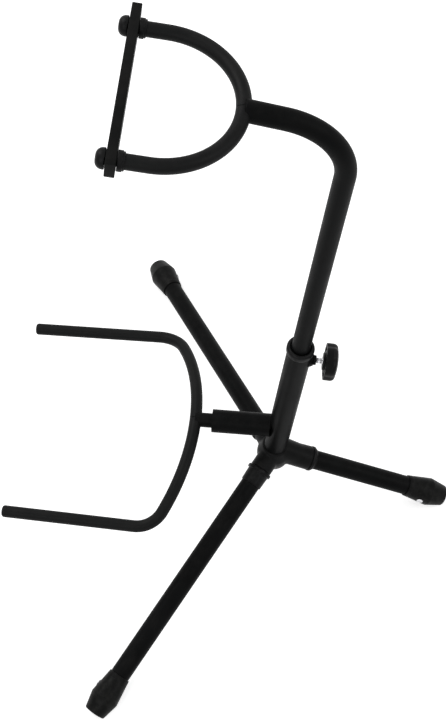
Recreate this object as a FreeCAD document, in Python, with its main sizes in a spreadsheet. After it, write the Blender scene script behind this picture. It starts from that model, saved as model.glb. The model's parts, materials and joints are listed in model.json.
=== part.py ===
"""Floor stand for a saxophone, modelled as the separate pieces it is assembled from.

A three-legged base carries a leaning column. A gooseneck slides and turns in the column and carries
the upper yoke, which is closed by a strap. A fork in a socket low on the column carries the bow.

Stand frame: the leg axes and the column axis cross at its origin, +Z runs up the column, -Y points to
the instrument's side. The finished stand is leaned back until all three feet touch the floor. Its
origin is then on the floor, in the middle of its box. Lengths are in millimetres, angles in degrees.
"""
import FreeCAD
import Part
import Sketcher
import math
import os
import re
from FreeCAD import Placement, Rotation, Vector

SIZES = {
    # fits
    "press_gap": 0.05,          # radial gap of pieces pressed or plugged together
    "running_gap": 0.07,        # radial gap of pieces that slide or turn
    "loose_gap": 0.3,           # gap between pieces that move past each other
    # column
    "column_od": 25.4,
    "column_wall": 1.5,
    "column_height": 219.0,     # top of the tube above the hub centre
    "column_seat": 11.0,        # depth of the tube's foot below the hub centre
    "bush_flange_od": 28.2,
    "bush_flange_height": 8.5,
    "bush_mouth_od": 21.8,
    "bush_mouth_depth": 2.4,
    "bush_depth": 38.0,         # length of the bush inside the tube
    # clamp
    "clamp_below_top": 14.5,    # screw's axis below the top of the column tube
    "clamp_thread_od": 6.0,
    "clamp_hole_gap": 0.6,
    "nut_flats": 10.4,
    "nut_reach": 18.2,          # outer face of the nut from the column axis
    "knob_reach": 24.7,         # inner face of the knob's boss from the column axis
    "knob_boss_od": 18.0,
    "knob_boss_height": 2.0,
    "knob_od": 37.8,
    "knob_height": 13.0,
    "knob_dome": 2.0,
    "knob_edge": 4.0,
    "knob_scallop_od": 20.0,
    "knob_scallop_bite": 1.2,
    "knob_screw_depth": 12.0,   # length of the stud inside the knob
    # gooseneck
    "neck_od": 19.05,
    "neck_wall": 1.2,
    "neck_foot": 95.0,          # lower end of the tube above the hub centre
    "neck_bend_start": 505.5,
    "neck_bend_radius": 65.0,
    "neck_bend_angle": 83.0,
    "neck_nose": 33.9,          # from the bend to the tube's end, on the yoke's centre line
    "glide_flange": 4.0,
    "glide_spigot": 16.0,
    # yoke
    "yoke_rod_od": 10.0,
    "yoke_cover_od": 13.0,
    "yoke_radius": 67.0,
    "yoke_tilt": 2.0,
    "yoke_straight": 18.0,      # from the half circle to the collar
    "yoke_seam": 0.2,           # each cover's end from the middle of the yoke
    "collar_od": 17.0,
    "collar_length": 5.8,
    "collar_lip": 1.6,
    "strap_thickness": 8.8,     # at the two bosses round the pins
    "strap_relief": 0.2,        # bar below the bosses on each face
    "strap_width": 17.0,
    "strap_boss_od": 16.4,
    "strap_hook_end": 11.0,     # strap past the centre of the hooked pin
    "strap_eye_end": 19.0,      # strap past the centre of the pivot pin
    "cap_od": 17.2,
    "cap_length": 7.8,
    "cap_round": 6.0,
    "cap_bore": 5.0,
    # fork
    "socket_height": 55.0,      # where the socket's axis leaves the column axis
    "socket_drop": 6.0,
    "socket_od": 25.4,
    "socket_wall": 1.5,
    "socket_start": 11.5,       # square end of the tube, barely coped to the column
    "socket_reach": 74.5,
    "fork_bush_start": 20.0,
    "stub_od": 15.9,
    "stub_wall": 1.5,
    "stub_start": 24.0,
    "fork_reach": 93.0,         # fork's centre line from the column axis
    "fork_rod_od": 10.0,
    "fork_cover_od": 13.0,
    "fork_seam": 0.2,           # each cover's end from the middle of the fork
    "fork_bow_radius": 171.5,
    "fork_bow_angle": 36.8,
    "fork_bow_drop": 47.4,      # the bow's plane falls forwards by this angle
    "fork_corner_radius": 32.0,
    "fork_arm": 142.8,
    "fork_arm_drop": 4.5,
    "fork_toe_in": 1.4,
    "fork_cover_end": 5.0,      # cover past the end of the rod
    "fork_tip_round": 3.0,
    # hub
    "hub_barrel_od": 34.0,
    "hub_top": 11.0,
    "hub_floor": 9.0,
    "hub_web_top": -2.5,
    "hub_web_bottom": 13.0,
    "hub_web_length": 18.0,
    "hub_web_width": 23.0,      # a little less than the arms, which stand proud of the web
    "hub_web_round": 17.0,
    "hub_arm_od": 24.8,
    "front_arm_reach": 29.0,
    "rear_arm_reach": 43.0,
    "rear_arm_root_od": 26.0,
    "rear_arm_end_od": 27.4,    # the rear arm widens towards its end
    "leg_start": 18.6,          # inner end of each leg from the hub centre
    "ring_od": 28.2,
    "ring_width": 4.0,
    "sleeve_root_od": 24.7,
    "sleeve_end_od": 23.9,
    "front_sleeve": 15.0,
    "rear_sleeve": 1.6,
    "plug_height": 8.0,
    "bolt_od": 8.0,
    "bolt_hole_gap": 0.3,
    "bolt_head_flats": 13.0,
    "bolt_head_height": 5.3,
    "washer_od": 18.0,
    "washer_height": 1.6,
    # legs and feet
    "leg_drop": 18.0,
    "leg_spread": 61.0,         # each front leg away from straight forwards
    "leg_od": 21.7,
    "leg_wall": 1.2,
    "front_foot_start": 301.0,
    "rear_foot_start": 166.0,
    "foot_lip_od": 24.0,
    "foot_shoulder_od": 31.9,
    "foot_shoulder": 29.0,
    "foot_end_od": 23.4,
    "foot_length": 48.7,
    "foot_dome": 0.8,
    "foot_bore_depth": 38.0,
    "foot_squash": 0.8,         # rubber flattened by the floor
    "rivet_head_od": 7.2,
    "rivet_head_height": 1.2,
    "rivet_place": 19.0,        # rivet from the foot's lip
    "rivet_shank_od": 4.0,
    "rivet_grip": 6.0,          # shank length through the rubber and the tube wall
}

FORWARD = Vector(0, -1, 0)
SIDE = Vector(1, 0, 0)
UP = Vector(0, 0, 1)
FRONT_LEG_TURNS = {"right": SIZES["leg_spread"], "left": -SIZES["leg_spread"]}
REAR_LEG_TURN = 180.0
LEG_TURNS = {**FRONT_LEG_TURNS, "rear": REAR_LEG_TURN}
KNOB_LOBES = 6
HEX_CORNERS = 6

doc = FreeCAD.newDocument("saxophone_stand")
sheet = doc.addObject("Spreadsheet::Sheet", "Sizes")
placed = {}


def write_sheet():
    """Put every driving size in the spreadsheet under its own alias."""
    for row, (alias, value) in enumerate(SIZES.items(), 1):
        sheet.set(f"A{row}", alias)
        sheet.set(f"B{row}", str(value))
        sheet.setAlias(f"B{row}", alias)
    doc.recompute()


def bound(text):
    """Return an expression in which each size name points at the spreadsheet."""
    return re.sub(r"\b([a-z]+(?:_[a-z]+)+)\b", r"Sizes.\1", text)


def value(text):
    """Return the number that an expression of size names stands for."""
    return float(sheet.evalExpression(bound(text)))


def turn(axis, angle):
    """Return a placement that only turns, about one axis through the origin."""
    return Placement(Vector(), Rotation(axis, angle))


def shift(x=0.0, y=0.0, z=0.0):
    """Return a placement that only moves."""
    return Placement(Vector(x, y, z), Rotation())


# ---------------------------------------------------------------- shared builders

def new_body(label, local=Placement()):
    """Start a sub-part whose own frame sits at a placement in the stand frame."""
    body = doc.addObject("PartDesign::Body", label)
    body.Label = label
    placed[label] = (body, local)
    return body


def plane_of(body, role):
    """Return one origin plane of a body."""
    return next(item for item in body.Origin.OriginFeatures if item.Role == role)


def new_sketch(body, name, role, lift=None):
    """Attach a sketch to an origin plane, lifted off it by an expression if one is given."""
    sketch = body.newObject("Sketcher::SketchObject", name)
    sketch.AttachmentSupport = [(plane_of(body, role), "")]
    sketch.MapMode = "FlatFace"
    if lift is not None:
        sketch.setExpression("AttachmentOffset.Base.z", bound(lift))
    return sketch


def pin_point(sketch, geometry, end, across, along):
    """Hold a vertex at two coordinates given as expressions."""
    for kind, axis, text in (("DistanceX", -2, across), ("DistanceY", -1, along)):
        number = value(text)
        if abs(number) < 1e-9:
            sketch.addConstraint(Sketcher.Constraint("PointOnObject", geometry, end, axis))
        else:
            index = sketch.addConstraint(Sketcher.Constraint(kind, -1, 1, geometry, end, number))
            sketch.setExpression(f"Constraints[{index}]", bound(text))


def draw_polygon(sketch, corners):
    """Draw a closed outline through corners whose coordinates are expressions."""
    points = [Vector(value(across), value(along), 0) for across, along in corners]
    count = len(points)
    for index in range(count):
        sketch.addGeometry(Part.LineSegment(points[index], points[(index + 1) % count]))
    for index in range(count):
        sketch.addConstraint(Sketcher.Constraint("Coincident", index, 2, (index + 1) % count, 1))
    for index, (across, along) in enumerate(corners):
        pin_point(sketch, index, 1, across, along)


def draw_circle(sketch, across, along, diameter):
    """Draw a circle with its centre and diameter given as expressions."""
    centre = Vector(value(across), value(along), 0)
    index = sketch.addGeometry(Part.Circle(centre, UP, value(diameter) / 2))
    pin_point(sketch, index, 3, across, along)
    held = sketch.addConstraint(Sketcher.Constraint("Diameter", index, value(diameter)))
    sketch.setExpression(f"Constraints[{held}]", bound(diameter))


def revolve(body, name, corners):
    """Turn an outline of (radius, height) corners about the body's Z axis."""
    sketch = new_sketch(body, f"{name}_profile", "XZ_Plane")
    draw_polygon(sketch, corners)
    feature = body.newObject("PartDesign::Revolution", name)
    feature.Profile = sketch
    feature.ReferenceAxis = (sketch, ["V_Axis"])
    feature.Angle = 360.0
    return feature


def pad_polygon(body, name, corners, length, lift=None):
    """Pad an outline on the body's XY plane."""
    sketch = new_sketch(body, f"{name}_outline", "XY_Plane", lift)
    draw_polygon(sketch, corners)
    feature = body.newObject("PartDesign::Pad", name)
    feature.Profile = sketch
    feature.setExpression("Length", bound(length))
    return feature


def round_shape(body, kind, name, radius, height, local):
    """Add or cut a cylinder along its own Z, with sizes as expressions."""
    feature = body.newObject(f"PartDesign::{kind}Cylinder", name)
    feature.setExpression("Radius", bound(radius))
    feature.setExpression("Height", bound(height))
    feature.Placement = local
    return feature


def ring_seat(body, name, radius, thickness, local):
    """Cut the seat of a bent rod: a ring whose plane is the XY plane of the given placement."""
    feature = body.newObject("PartDesign::SubtractiveTorus", name)
    feature.setExpression("Radius1", bound(radius))
    feature.setExpression("Radius2", bound(thickness))
    feature.Placement = local


def turned_part(label, local, corners):
    """Make a sub-part that is a single turned outline."""
    body = new_body(label, local)
    revolve(body, "turned", corners)
    return body


def tube_corners(outer, inner, low, high):
    """Return the (radius, height) corners of a plain tube from diameters and end heights."""
    near, far = f"({inner}) / 2", f"({outer}) / 2"
    return [(near, low), (far, low), (far, high), (near, high)]


def hex_corners(flats):
    """Return the corners of a hexagon from the distance across its flats."""
    turns = [360.0 * index / HEX_CORNERS for index in range(HEX_CORNERS)]
    reach = f"({flats}) / 2 / cos(30)"
    return [(f"{reach} * cos({angle})", f"{reach} * sin({angle})") for angle in turns]


def round_edges(body, name, radius, wanted):
    """Fillet the edges of the finished shape that a test picks out."""
    doc.recompute()
    base = body.Tip
    edges = [f"Edge{number}" for number, edge in enumerate(base.Shape.Edges, 1) if wanted(edge)]
    fillet = body.newObject("PartDesign::Fillet", name)
    fillet.Base = (base, edges)
    fillet.setExpression("Radius", bound(radius))
    return fillet


def circle_at(height, radius):
    """Return a test for a full circle about Z at a height and radius."""
    def matches(edge):
        """Say whether an edge is that circle."""
        curve = edge.Curve
        if not isinstance(curve, Part.Circle):
            return False
        return abs(curve.Center.z - height) < 1e-3 and abs(curve.Radius - radius) < 1e-3
    return matches


# ---------------------------------------------------------------- frames of the pieces

def leg_frame(angle):
    """Return the frame of a leg: Z runs outwards along it and Y points up."""
    return turn(UP, angle) * turn(SIDE, 90.0 + SIZES["leg_drop"])


def clamp_frame():
    """Return the frame of the clamp: Z runs backwards along the screw, from the column axis."""
    return shift(z=SIZES["column_height"] - SIZES["clamp_below_top"]) * turn(SIDE, -90.0)


def socket_frame():
    """Return the frame of the fork's socket: Z runs forwards along it and Y points up."""
    return shift(z=SIZES["socket_height"]) * turn(SIDE, 90.0 + SIZES["socket_drop"])


def nose_frame():
    """Return the frame of the gooseneck's end: its origin on the yoke's centre line, Z out of the tube."""
    angle = math.radians(SIZES["neck_bend_angle"])
    radius = SIZES["neck_bend_radius"]
    nose = SIZES["neck_nose"]
    ahead = radius * (1 - math.cos(angle)) + nose * math.sin(angle)
    above = SIZES["neck_bend_start"] + radius * math.sin(angle) + nose * math.cos(angle)
    return shift(y=-ahead, z=above) * turn(SIDE, SIZES["neck_bend_angle"])


def yoke_frame():
    """Return the yoke's frame: its origin is where the gooseneck meets it, and -Y runs to the tips."""
    return nose_frame() * turn(SIDE, -SIZES["neck_bend_angle"] - SIZES["yoke_tilt"])


# ---------------------------------------------------------------- hub and column

def hub_corners():
    """Return the corners of the web plate: two at the end of each arm."""
    corners = []
    for angle in ("leg_spread", "180", "-leg_spread"):
        for side in (-1, 1):
            across = f"hub_web_length * sin({angle}) + ({side}) * hub_web_width / 2 * cos({angle})"
            along = f"-hub_web_length * cos({angle}) + ({side}) * hub_web_width / 2 * sin({angle})"
            corners.append((across, along))
    return corners


def make_hub():
    """Cast hub: a barrel for the column, three arms with end rings, and webs between them."""
    body = new_body("hub_casting")
    pad_polygon(body, "web", hub_corners(), "hub_web_top + hub_web_bottom", "-hub_web_bottom")
    spread = SIZES["leg_spread"]
    for name, middle, half in (
        ("front_round", 0.0, spread),
        ("right_round", (spread + REAR_LEG_TURN) / 2, (REAR_LEG_TURN - spread) / 2),
        ("left_round", -(spread + REAR_LEG_TURN) / 2, (REAR_LEG_TURN - spread) / 2),
    ):
        away = (SIZES["hub_web_width"] / 2 + SIZES["hub_web_round"]) / math.sin(math.radians(half))
        centre = Rotation(UP, middle).multVec(FORWARD * away)
        local = shift(centre.x, centre.y, -2 * SIZES["hub_web_bottom"])
        round_shape(body, "Subtractive", name, "hub_web_round", "4 * hub_web_bottom", local)
    foot = shift(z=-SIZES["column_seat"] - SIZES["hub_floor"])
    round_shape(body, "Additive", "barrel", "hub_barrel_od / 2", "column_seat + hub_floor + hub_top", foot)
    for side, angle in FRONT_LEG_TURNS.items():
        round_shape(body, "Additive", f"{side}_arm", "hub_arm_od / 2", "front_arm_reach", leg_frame(angle))
    rear = body.newObject("PartDesign::AdditiveCone", "rear_arm")
    rear.setExpression("Radius1", bound("rear_arm_root_od / 2"))
    rear.setExpression("Radius2", bound("rear_arm_end_od / 2"))
    rear.setExpression("Height", bound("rear_arm_reach"))
    rear.Placement = leg_frame(REAR_LEG_TURN)
    seat = shift(z=-SIZES["column_seat"])
    round_shape(body, "Subtractive", "column_bore", "column_od / 2 + press_gap", "column_height", seat)
    for side, angle in LEG_TURNS.items():
        start = leg_frame(angle) * shift(z=SIZES["leg_start"])
        round_shape(body, "Subtractive", f"{side}_bore", "leg_od / 2 + press_gap", "rear_foot_start", start)
    hole = shift(z=-2 * SIZES["column_seat"] - SIZES["hub_floor"])
    round_shape(body, "Subtractive", "bolt_hole", "bolt_od / 2 + bolt_hole_gap", "column_height", hole)


def make_column():
    """Steel column tube with the hole for the clamp screw."""
    body = new_body("column_tube")
    inner = "column_od - 2 * column_wall"
    revolve(body, "tube", tube_corners("column_od", inner, "-column_seat", "column_height"))
    radius = "clamp_thread_od / 2 + clamp_hole_gap"
    round_shape(body, "Subtractive", "clamp_hole", radius, "column_od", clamp_frame())


def make_column_bush():
    """Moulded bush in the column's mouth, in which the gooseneck slides."""
    body = new_body("column_bush")
    bore = "neck_od / 2 + running_gap"
    sleeve = "column_od / 2 - column_wall - press_gap"
    top = "column_height + bush_flange_height"
    revolve(body, "bush", [
        (bore, "column_height - bush_depth"),
        (sleeve, "column_height - bush_depth"),
        (sleeve, "column_height"),
        ("bush_flange_od / 2", "column_height"),
        ("bush_flange_od / 2", top),
        ("bush_mouth_od / 2", top),
        (bore, f"{top} - bush_mouth_depth"),
    ])
    rim = SIZES["bush_flange_od"] / 2
    high = SIZES["column_height"] + SIZES["bush_flange_height"]
    lip = "0.85 * (bush_flange_od - bush_mouth_od) / 2"
    round_edges(body, "flange_round", lip, circle_at(high, rim))
    radius = "clamp_thread_od / 2 + clamp_hole_gap"
    round_shape(body, "Subtractive", "clamp_hole", radius, "column_od", clamp_frame())


def make_hub_fixings():
    """Plug in the column's foot, and the bolt and washer that pull it into the hub."""
    low = "-column_seat"
    outer = "column_od - 2 * column_wall - 2 * press_gap"
    inner = "bolt_od + 2 * press_gap"
    turned_part("column_plug", Placement(), tube_corners(outer, inner, low, f"{low} + plug_height"))
    under = shift(z=-SIZES["column_seat"] - SIZES["hub_floor"])
    washer = tube_corners("washer_od", "bolt_od + 2 * bolt_hole_gap", "-washer_height", "0")
    turned_part("hub_washer", under, washer)
    head = under * shift(z=-SIZES["washer_height"] - SIZES["bolt_head_height"])
    body = new_body("hub_bolt", head)
    pad_polygon(body, "head", hex_corners("bolt_head_flats"), "bolt_head_height")
    shank = "bolt_head_height + washer_height + hub_floor + plug_height"
    round_shape(body, "Additive", "shank", "bolt_od / 2", shank, Placement())


# ---------------------------------------------------------------- clamp

def make_clamp():
    """Nut welded to the column, the clamp screw in it and the lobed knob on the screw."""
    nut = new_body("clamp_nut", clamp_frame())
    pad_polygon(nut, "hexagon", hex_corners("nut_flats"), "nut_reach")
    round_shape(nut, "Subtractive", "thread", "clamp_thread_od / 2 + running_gap", "nut_reach", Placement())
    across = shift(y=-SIZES["column_od"]) * turn(SIDE, -90.0)
    round_shape(nut, "Subtractive", "saddle", "column_od / 2 + press_gap", "2 * column_od", across)

    start = "neck_od / 2 + loose_gap"
    end = "knob_reach + knob_screw_depth"
    turned_part("clamp_screw", clamp_frame(), [
        ("0", start), ("clamp_thread_od / 2", start), ("clamp_thread_od / 2", end), ("0", end)])

    knob = new_body("clamp_knob", clamp_frame() * shift(z=SIZES["knob_reach"]))
    bore = "clamp_thread_od / 2 + press_gap"
    floor = "knob_screw_depth + press_gap"
    rim = "knob_boss_height + knob_height - knob_dome"
    top = "knob_boss_height + knob_height"
    revolve(knob, "blank", [
        (bore, "0"), ("knob_boss_od / 2", "0"), ("knob_boss_od / 2", "knob_boss_height"),
        ("knob_od / 2", "knob_boss_height"), ("knob_od / 2", rim), ("knob_od / 4", top),
        ("0", top), ("0", floor), (bore, floor)])
    round_edges(knob, "rim_round", "knob_edge", circle_at(value(rim), SIZES["knob_od"] / 2))
    away = (SIZES["knob_od"] + SIZES["knob_scallop_od"]) / 2 - SIZES["knob_scallop_bite"]
    scallop = round_shape(knob, "Subtractive", "scallop", "knob_scallop_od / 2", "2 * knob_height", shift(x=away))
    pattern = knob.newObject("PartDesign::PolarPattern", "scallops")
    pattern.Originals = [scallop]
    pattern.Axis = (plane_of(knob, "Z_Axis"), [""])
    pattern.Angle = 360.0
    pattern.Occurrences = KNOB_LOBES
    knob.Tip = pattern


# ---------------------------------------------------------------- gooseneck and yoke

def make_gooseneck():
    """Bent steel tube: straight in the column, one bend, and a short nose notched for the yoke's rod."""
    body = new_body("gooseneck_tube")
    radius = SIZES["neck_bend_radius"]
    start = SIZES["neck_bend_start"]
    angle = math.radians(SIZES["neck_bend_angle"])
    nose = SIZES["neck_nose"]
    bend_end = Vector(-radius * (1 - math.cos(angle)), start + radius * math.sin(angle), 0)
    tip = bend_end + Vector(-math.sin(angle), math.cos(angle), 0) * nose
    path = new_sketch(body, "path", "YZ_Plane")
    path.addGeometry(Part.LineSegment(Vector(0, SIZES["neck_foot"], 0), Vector(0, start, 0)))
    path.addGeometry(Part.ArcOfCircle(Part.Circle(Vector(-radius, start, 0), UP, radius), 0, angle))
    path.addGeometry(Part.LineSegment(bend_end, tip))
    pin_point(path, 0, 1, "0", "neck_foot")
    pin_point(path, 0, 2, "0", "neck_bend_start")
    path.addConstraint(Sketcher.Constraint("Tangent", 0, 2, 1, 1))
    path.addConstraint(Sketcher.Constraint("Tangent", 1, 2, 2, 1))
    held = path.addConstraint(Sketcher.Constraint("Radius", 1, radius))
    path.setExpression(f"Constraints[{held}]", bound("neck_bend_radius"))
    held = path.addConstraint(Sketcher.Constraint("Distance", 2, nose))
    path.setExpression(f"Constraints[{held}]", bound("neck_nose"))
    held = path.addConstraint(Sketcher.Constraint("Angle", 2, math.pi / 2 + angle))
    path.setExpression(f"Constraints[{held}]", bound("(90 + neck_bend_angle) * 1 deg"))
    section = new_sketch(body, "section", "XY_Plane", "neck_foot")
    draw_circle(section, "0", "0", "neck_od")
    draw_circle(section, "0", "0", "neck_od - 2 * neck_wall")
    pipe = body.newObject("PartDesign::AdditivePipe", "bent_tube")
    pipe.Profile = section
    pipe.Spine = (path, ["Edge1", "Edge2", "Edge3"])
    seat = yoke_frame() * shift(y=-SIZES["yoke_radius"])
    ring_seat(body, "rod_seat", "yoke_radius", "yoke_rod_od / 2 + press_gap", seat)


def make_glide():
    """Moulded glide in the gooseneck's foot, which rides inside the column tube."""
    flange = "column_od / 2 - column_wall - running_gap"
    spigot = "neck_od / 2 - neck_wall - running_gap"
    top = "glide_flange + glide_spigot"
    foot = shift(z=SIZES["neck_foot"] - SIZES["glide_flange"] - SIZES["loose_gap"])
    turned_part("gooseneck_glide", foot, [
        ("0", "0"), (flange, "0"), (flange, "glide_flange"), (spigot, "glide_flange"), (spigot, top), ("0", top)])


def pipe_along(edges, radius):
    """Return a round bar of one radius along a chain of tangent edges."""
    wire = Part.Wire(edges)
    start = wire.OrderedVertexes[0].Point
    first = wire.OrderedEdges[0]
    heading = first.tangentAt(first.FirstParameter)
    circle = Part.Wire(Part.makeCircle(radius, start, heading))
    return wire.makePipeShell([circle], True, True)


def arc_from(start, heading, towards, radius, angle):
    """Return an arc edge that leaves a point along a heading, with its end point and end heading."""
    side = (towards - heading * towards.dot(heading)).normalize()
    centre = start + side * radius

    def point(part):
        """Return the point after part of the angle."""
        at = math.radians(angle * part)
        return centre - side * (radius * math.cos(at)) + heading * (radius * math.sin(at))

    end = math.radians(angle)
    edge = Part.Arc(start, point(0.5), point(1.0)).toShape()
    return edge, point(1.0), heading * math.cos(end) + side * math.sin(end)


def straight_from(start, heading, length):
    """Return a straight edge that leaves a point along a heading, with its end point."""
    end = start + heading * length
    return Part.LineSegment(start, end).toShape(), end


def new_feature(label, shape, local=Placement()):
    """Make a sub-part from a shape built in its own frame."""
    feature = doc.addObject("Part::Feature", label)
    feature.Label = label
    feature.Shape = shape
    placed[label] = (feature, local)


def yoke_half(side, bare, length):
    """Return the edges of one half of the yoke, from beside the gooseneck to past the half circle."""
    radius = SIZES["yoke_radius"]
    skipped = math.degrees(bare / radius)
    heading = SIDE * side
    if bare > 0:
        _, start, heading = arc_from(Vector(), heading, FORWARD, radius, skipped)
    else:
        start = Vector()
    bend, bend_end, heading = arc_from(start, heading, FORWARD, radius, 90.0 - skipped)
    arm, _ = straight_from(bend_end, FORWARD, length)
    return [bend, arm]


def make_yoke():
    """Upper yoke: a bent rod, its two soft covers, and on each tip a collar and a round cap."""
    pin = value("yoke_straight + collar_length + strap_thickness + 2 * loose_gap + cap_bore")
    core = SIZES["yoke_rod_od"] / 2
    halves = [pipe_along(yoke_half(side, 0, pin), core) for side in (1, -1)]
    new_feature("yoke_rod", halves[0].fuse(halves[1]).removeSplitter(), yoke_frame())
    gap = SIZES["press_gap"]
    nose = SIZES["neck_nose"]
    neck = Part.makeCylinder(SIZES["neck_od"] / 2 + gap, nose, Vector(0, 0, gap - nose))
    neck.Placement = yoke_frame().inverse() * nose_frame()
    for name, side in (("right", 1), ("left", -1)):
        edges = yoke_half(side, SIZES["yoke_seam"], SIZES["yoke_straight"])
        outer = pipe_along(edges, SIZES["yoke_cover_od"] / 2)
        cover = outer.cut(pipe_along(edges, core + gap)).cut(neck)
        new_feature(f"yoke_cover_{name}", cover, yoke_frame())
        tip = shift(side * SIZES["yoke_radius"], -SIZES["yoke_radius"] - SIZES["yoke_straight"])
        ahead = yoke_frame() * tip * turn(SIDE, 90.0)
        bore = "yoke_rod_od / 2 + press_gap"
        turned_part(f"yoke_collar_{name}", ahead, [
            (bore, "0"), ("collar_od / 2 - 0.6", "0"), ("collar_od / 2 - 0.6", "collar_lip"),
            ("collar_od / 2", "collar_lip"), ("collar_od / 2", "collar_length"), (bore, "collar_length")])
        head = ahead * shift(z=value("collar_length + strap_thickness + 2 * loose_gap"))
        cap = turned_part(f"yoke_cap_{name}", head, [
            (bore, "0"), ("cap_od / 2", "0"), ("cap_od / 2", "cap_length"), ("0", "cap_length"),
            ("0", "cap_bore + press_gap"), (bore, "cap_bore + press_gap")])
        round_edges(cap, "crown", "cap_round", circle_at(SIZES["cap_length"], SIZES["cap_od"] / 2))


def make_strap():
    """Rubber strap: an eye on the left pin and, on the right, a hook that is open below."""
    back = value("yoke_radius + yoke_straight + collar_length + loose_gap")
    frame = yoke_frame() * shift(y=-back) * turn(SIDE, 90.0)
    body = new_body("retaining_strap", frame)
    left = "-yoke_radius - strap_eye_end"
    right = "yoke_radius + strap_hook_end"
    outline = [
        (left, "-strap_width / 2"), (right, "-strap_width / 2"), (right, "strap_width / 2"), (left, "strap_width / 2")]
    pad_polygon(body, "bar", outline, "strap_thickness - 2 * strap_relief", "strap_relief")
    eye = shift(x=-SIZES["yoke_radius"])
    hook = shift(x=SIZES["yoke_radius"])
    round_shape(body, "Additive", "eye_boss", "strap_boss_od / 2", "strap_thickness", eye)
    round_shape(body, "Additive", "hook_boss", "strap_boss_od / 2", "strap_thickness", hook)
    round_shape(body, "Subtractive", "eye", "yoke_rod_od / 2 + running_gap", "strap_thickness", eye)
    round_shape(body, "Subtractive", "hook", "yoke_rod_od / 2 + loose_gap", "strap_thickness", hook)
    slot = body.newObject("PartDesign::SubtractiveBox", "hook_slot")
    slot.setExpression("Length", bound("yoke_rod_od + 2 * loose_gap"))
    slot.setExpression("Width", bound("strap_width"))
    slot.setExpression("Height", bound("strap_thickness"))
    half = value("yoke_rod_od / 2 + loose_gap")
    slot.Placement = hook * shift(x=-half, y=-SIZES["strap_width"])


# ---------------------------------------------------------------- fork

def fork_half(side, bare, arm_length):
    """Return the edges of one half of the fork, from beside its stub to the tip, and the tip."""
    drop = math.radians(SIZES["fork_bow_drop"])
    arm_drop = math.radians(SIZES["fork_arm_drop"])
    toe = math.radians(SIZES["fork_toe_in"])
    bow_down = Vector(0, -math.cos(drop), -math.sin(drop))
    inward = -side * math.sin(toe)
    arm_way = Vector(inward, -math.cos(toe) * math.cos(arm_drop), -math.sin(arm_drop)).normalize()
    centre = socket_frame().multVec(UP * SIZES["fork_reach"])
    radius = SIZES["fork_bow_radius"]
    skipped = math.degrees(bare / radius)
    start = centre
    heading = SIDE * side
    if bare > 0:
        _, start, heading = arc_from(centre, heading, bow_down, radius, skipped)
    bow, corner, heading = arc_from(start, heading, bow_down, radius, SIZES["fork_bow_angle"] - skipped)
    corner_angle = math.degrees(heading.getAngle(arm_way))
    bend, arm_start, _ = arc_from(corner, heading, arm_way, SIZES["fork_corner_radius"], corner_angle)
    arm, tip = straight_from(arm_start, arm_way, arm_length)
    return [bow, bend, arm], tip


def make_fork():
    """Lower fork: socket and bush on the column, stub, bent rod and two soft covers with closed tips."""
    frame = socket_frame()
    socket = new_body("fork_socket", frame)
    inner = "socket_od - 2 * socket_wall"
    revolve(socket, "tube", tube_corners("socket_od", inner, "socket_start", "socket_reach"))
    upright = frame.inverse() * shift(z=-SIZES["socket_height"])
    round_shape(socket, "Subtractive", "saddle", "column_od / 2 + press_gap", "column_height", upright)

    bush_outer = f"{inner} - 2 * press_gap"
    bush_inner = "stub_od + 2 * running_gap"
    turned_part("fork_bush", frame, tube_corners(bush_outer, bush_inner, "fork_bush_start", "socket_reach"))

    stub = new_body("fork_stub", frame)
    revolve(stub, "tube", tube_corners("stub_od", "stub_od - 2 * stub_wall", "stub_start", "fork_reach"))
    bow = shift(*frame.multVec(UP * SIZES["fork_reach"])) * turn(SIDE, SIZES["fork_bow_drop"])
    seat = frame.inverse() * bow * shift(y=-SIZES["fork_bow_radius"])
    ring_seat(stub, "rod_seat", "fork_bow_radius", "fork_rod_od / 2 + press_gap", seat)

    core = SIZES["fork_rod_od"] / 2
    shell = SIZES["fork_cover_od"] / 2
    rod_arm = SIZES["fork_arm"] - SIZES["fork_cover_end"]
    gap = SIZES["press_gap"]
    nose = Part.makeCylinder(SIZES["stub_od"] / 2 + gap, SIZES["fork_reach"], Vector(0, 0, gap))
    nose.Placement = frame
    halves = [pipe_along(fork_half(side, 0, rod_arm)[0], core) for side in (1, -1)]
    new_feature("fork_rod", halves[0].fuse(halves[1]).removeSplitter())
    for name, side in (("right", 1), ("left", -1)):
        outer_edges, tip = fork_half(side, SIZES["fork_seam"], SIZES["fork_arm"])
        outer = pipe_along(outer_edges, shell)
        rim = [edge for edge in outer.Edges if edge.CenterOfMass.distanceToPoint(tip) < gap]
        outer = outer.makeFillet(SIZES["fork_tip_round"], rim)
        inner_edges, _ = fork_half(side, SIZES["fork_seam"], rod_arm + gap)
        cover = outer.cut(pipe_along(inner_edges, core + gap)).cut(nose)
        new_feature(f"fork_cover_{name}", cover)


# ---------------------------------------------------------------- legs

def foot_start(side):
    """Return the name of the size that places a leg's foot."""
    return "rear_foot_start" if side == "rear" else "front_foot_start"


def rivet_frame():
    """Return a rivet's frame in its foot's frame: Z points out of the rubber, Y towards the foot's lip."""
    slope = math.degrees(math.atan(value("(foot_shoulder_od - foot_lip_od) / 2 / foot_shoulder")))
    depth = value("foot_lip_od / 2 + rivet_place / foot_shoulder * (foot_shoulder_od - foot_lip_od) / 2")
    outwards = turn(UP, 90.0) * turn(SIDE, -90.0)
    return shift(z=SIZES["rivet_place"]) * outwards * shift(z=depth) * turn(SIDE, -slope)


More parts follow.
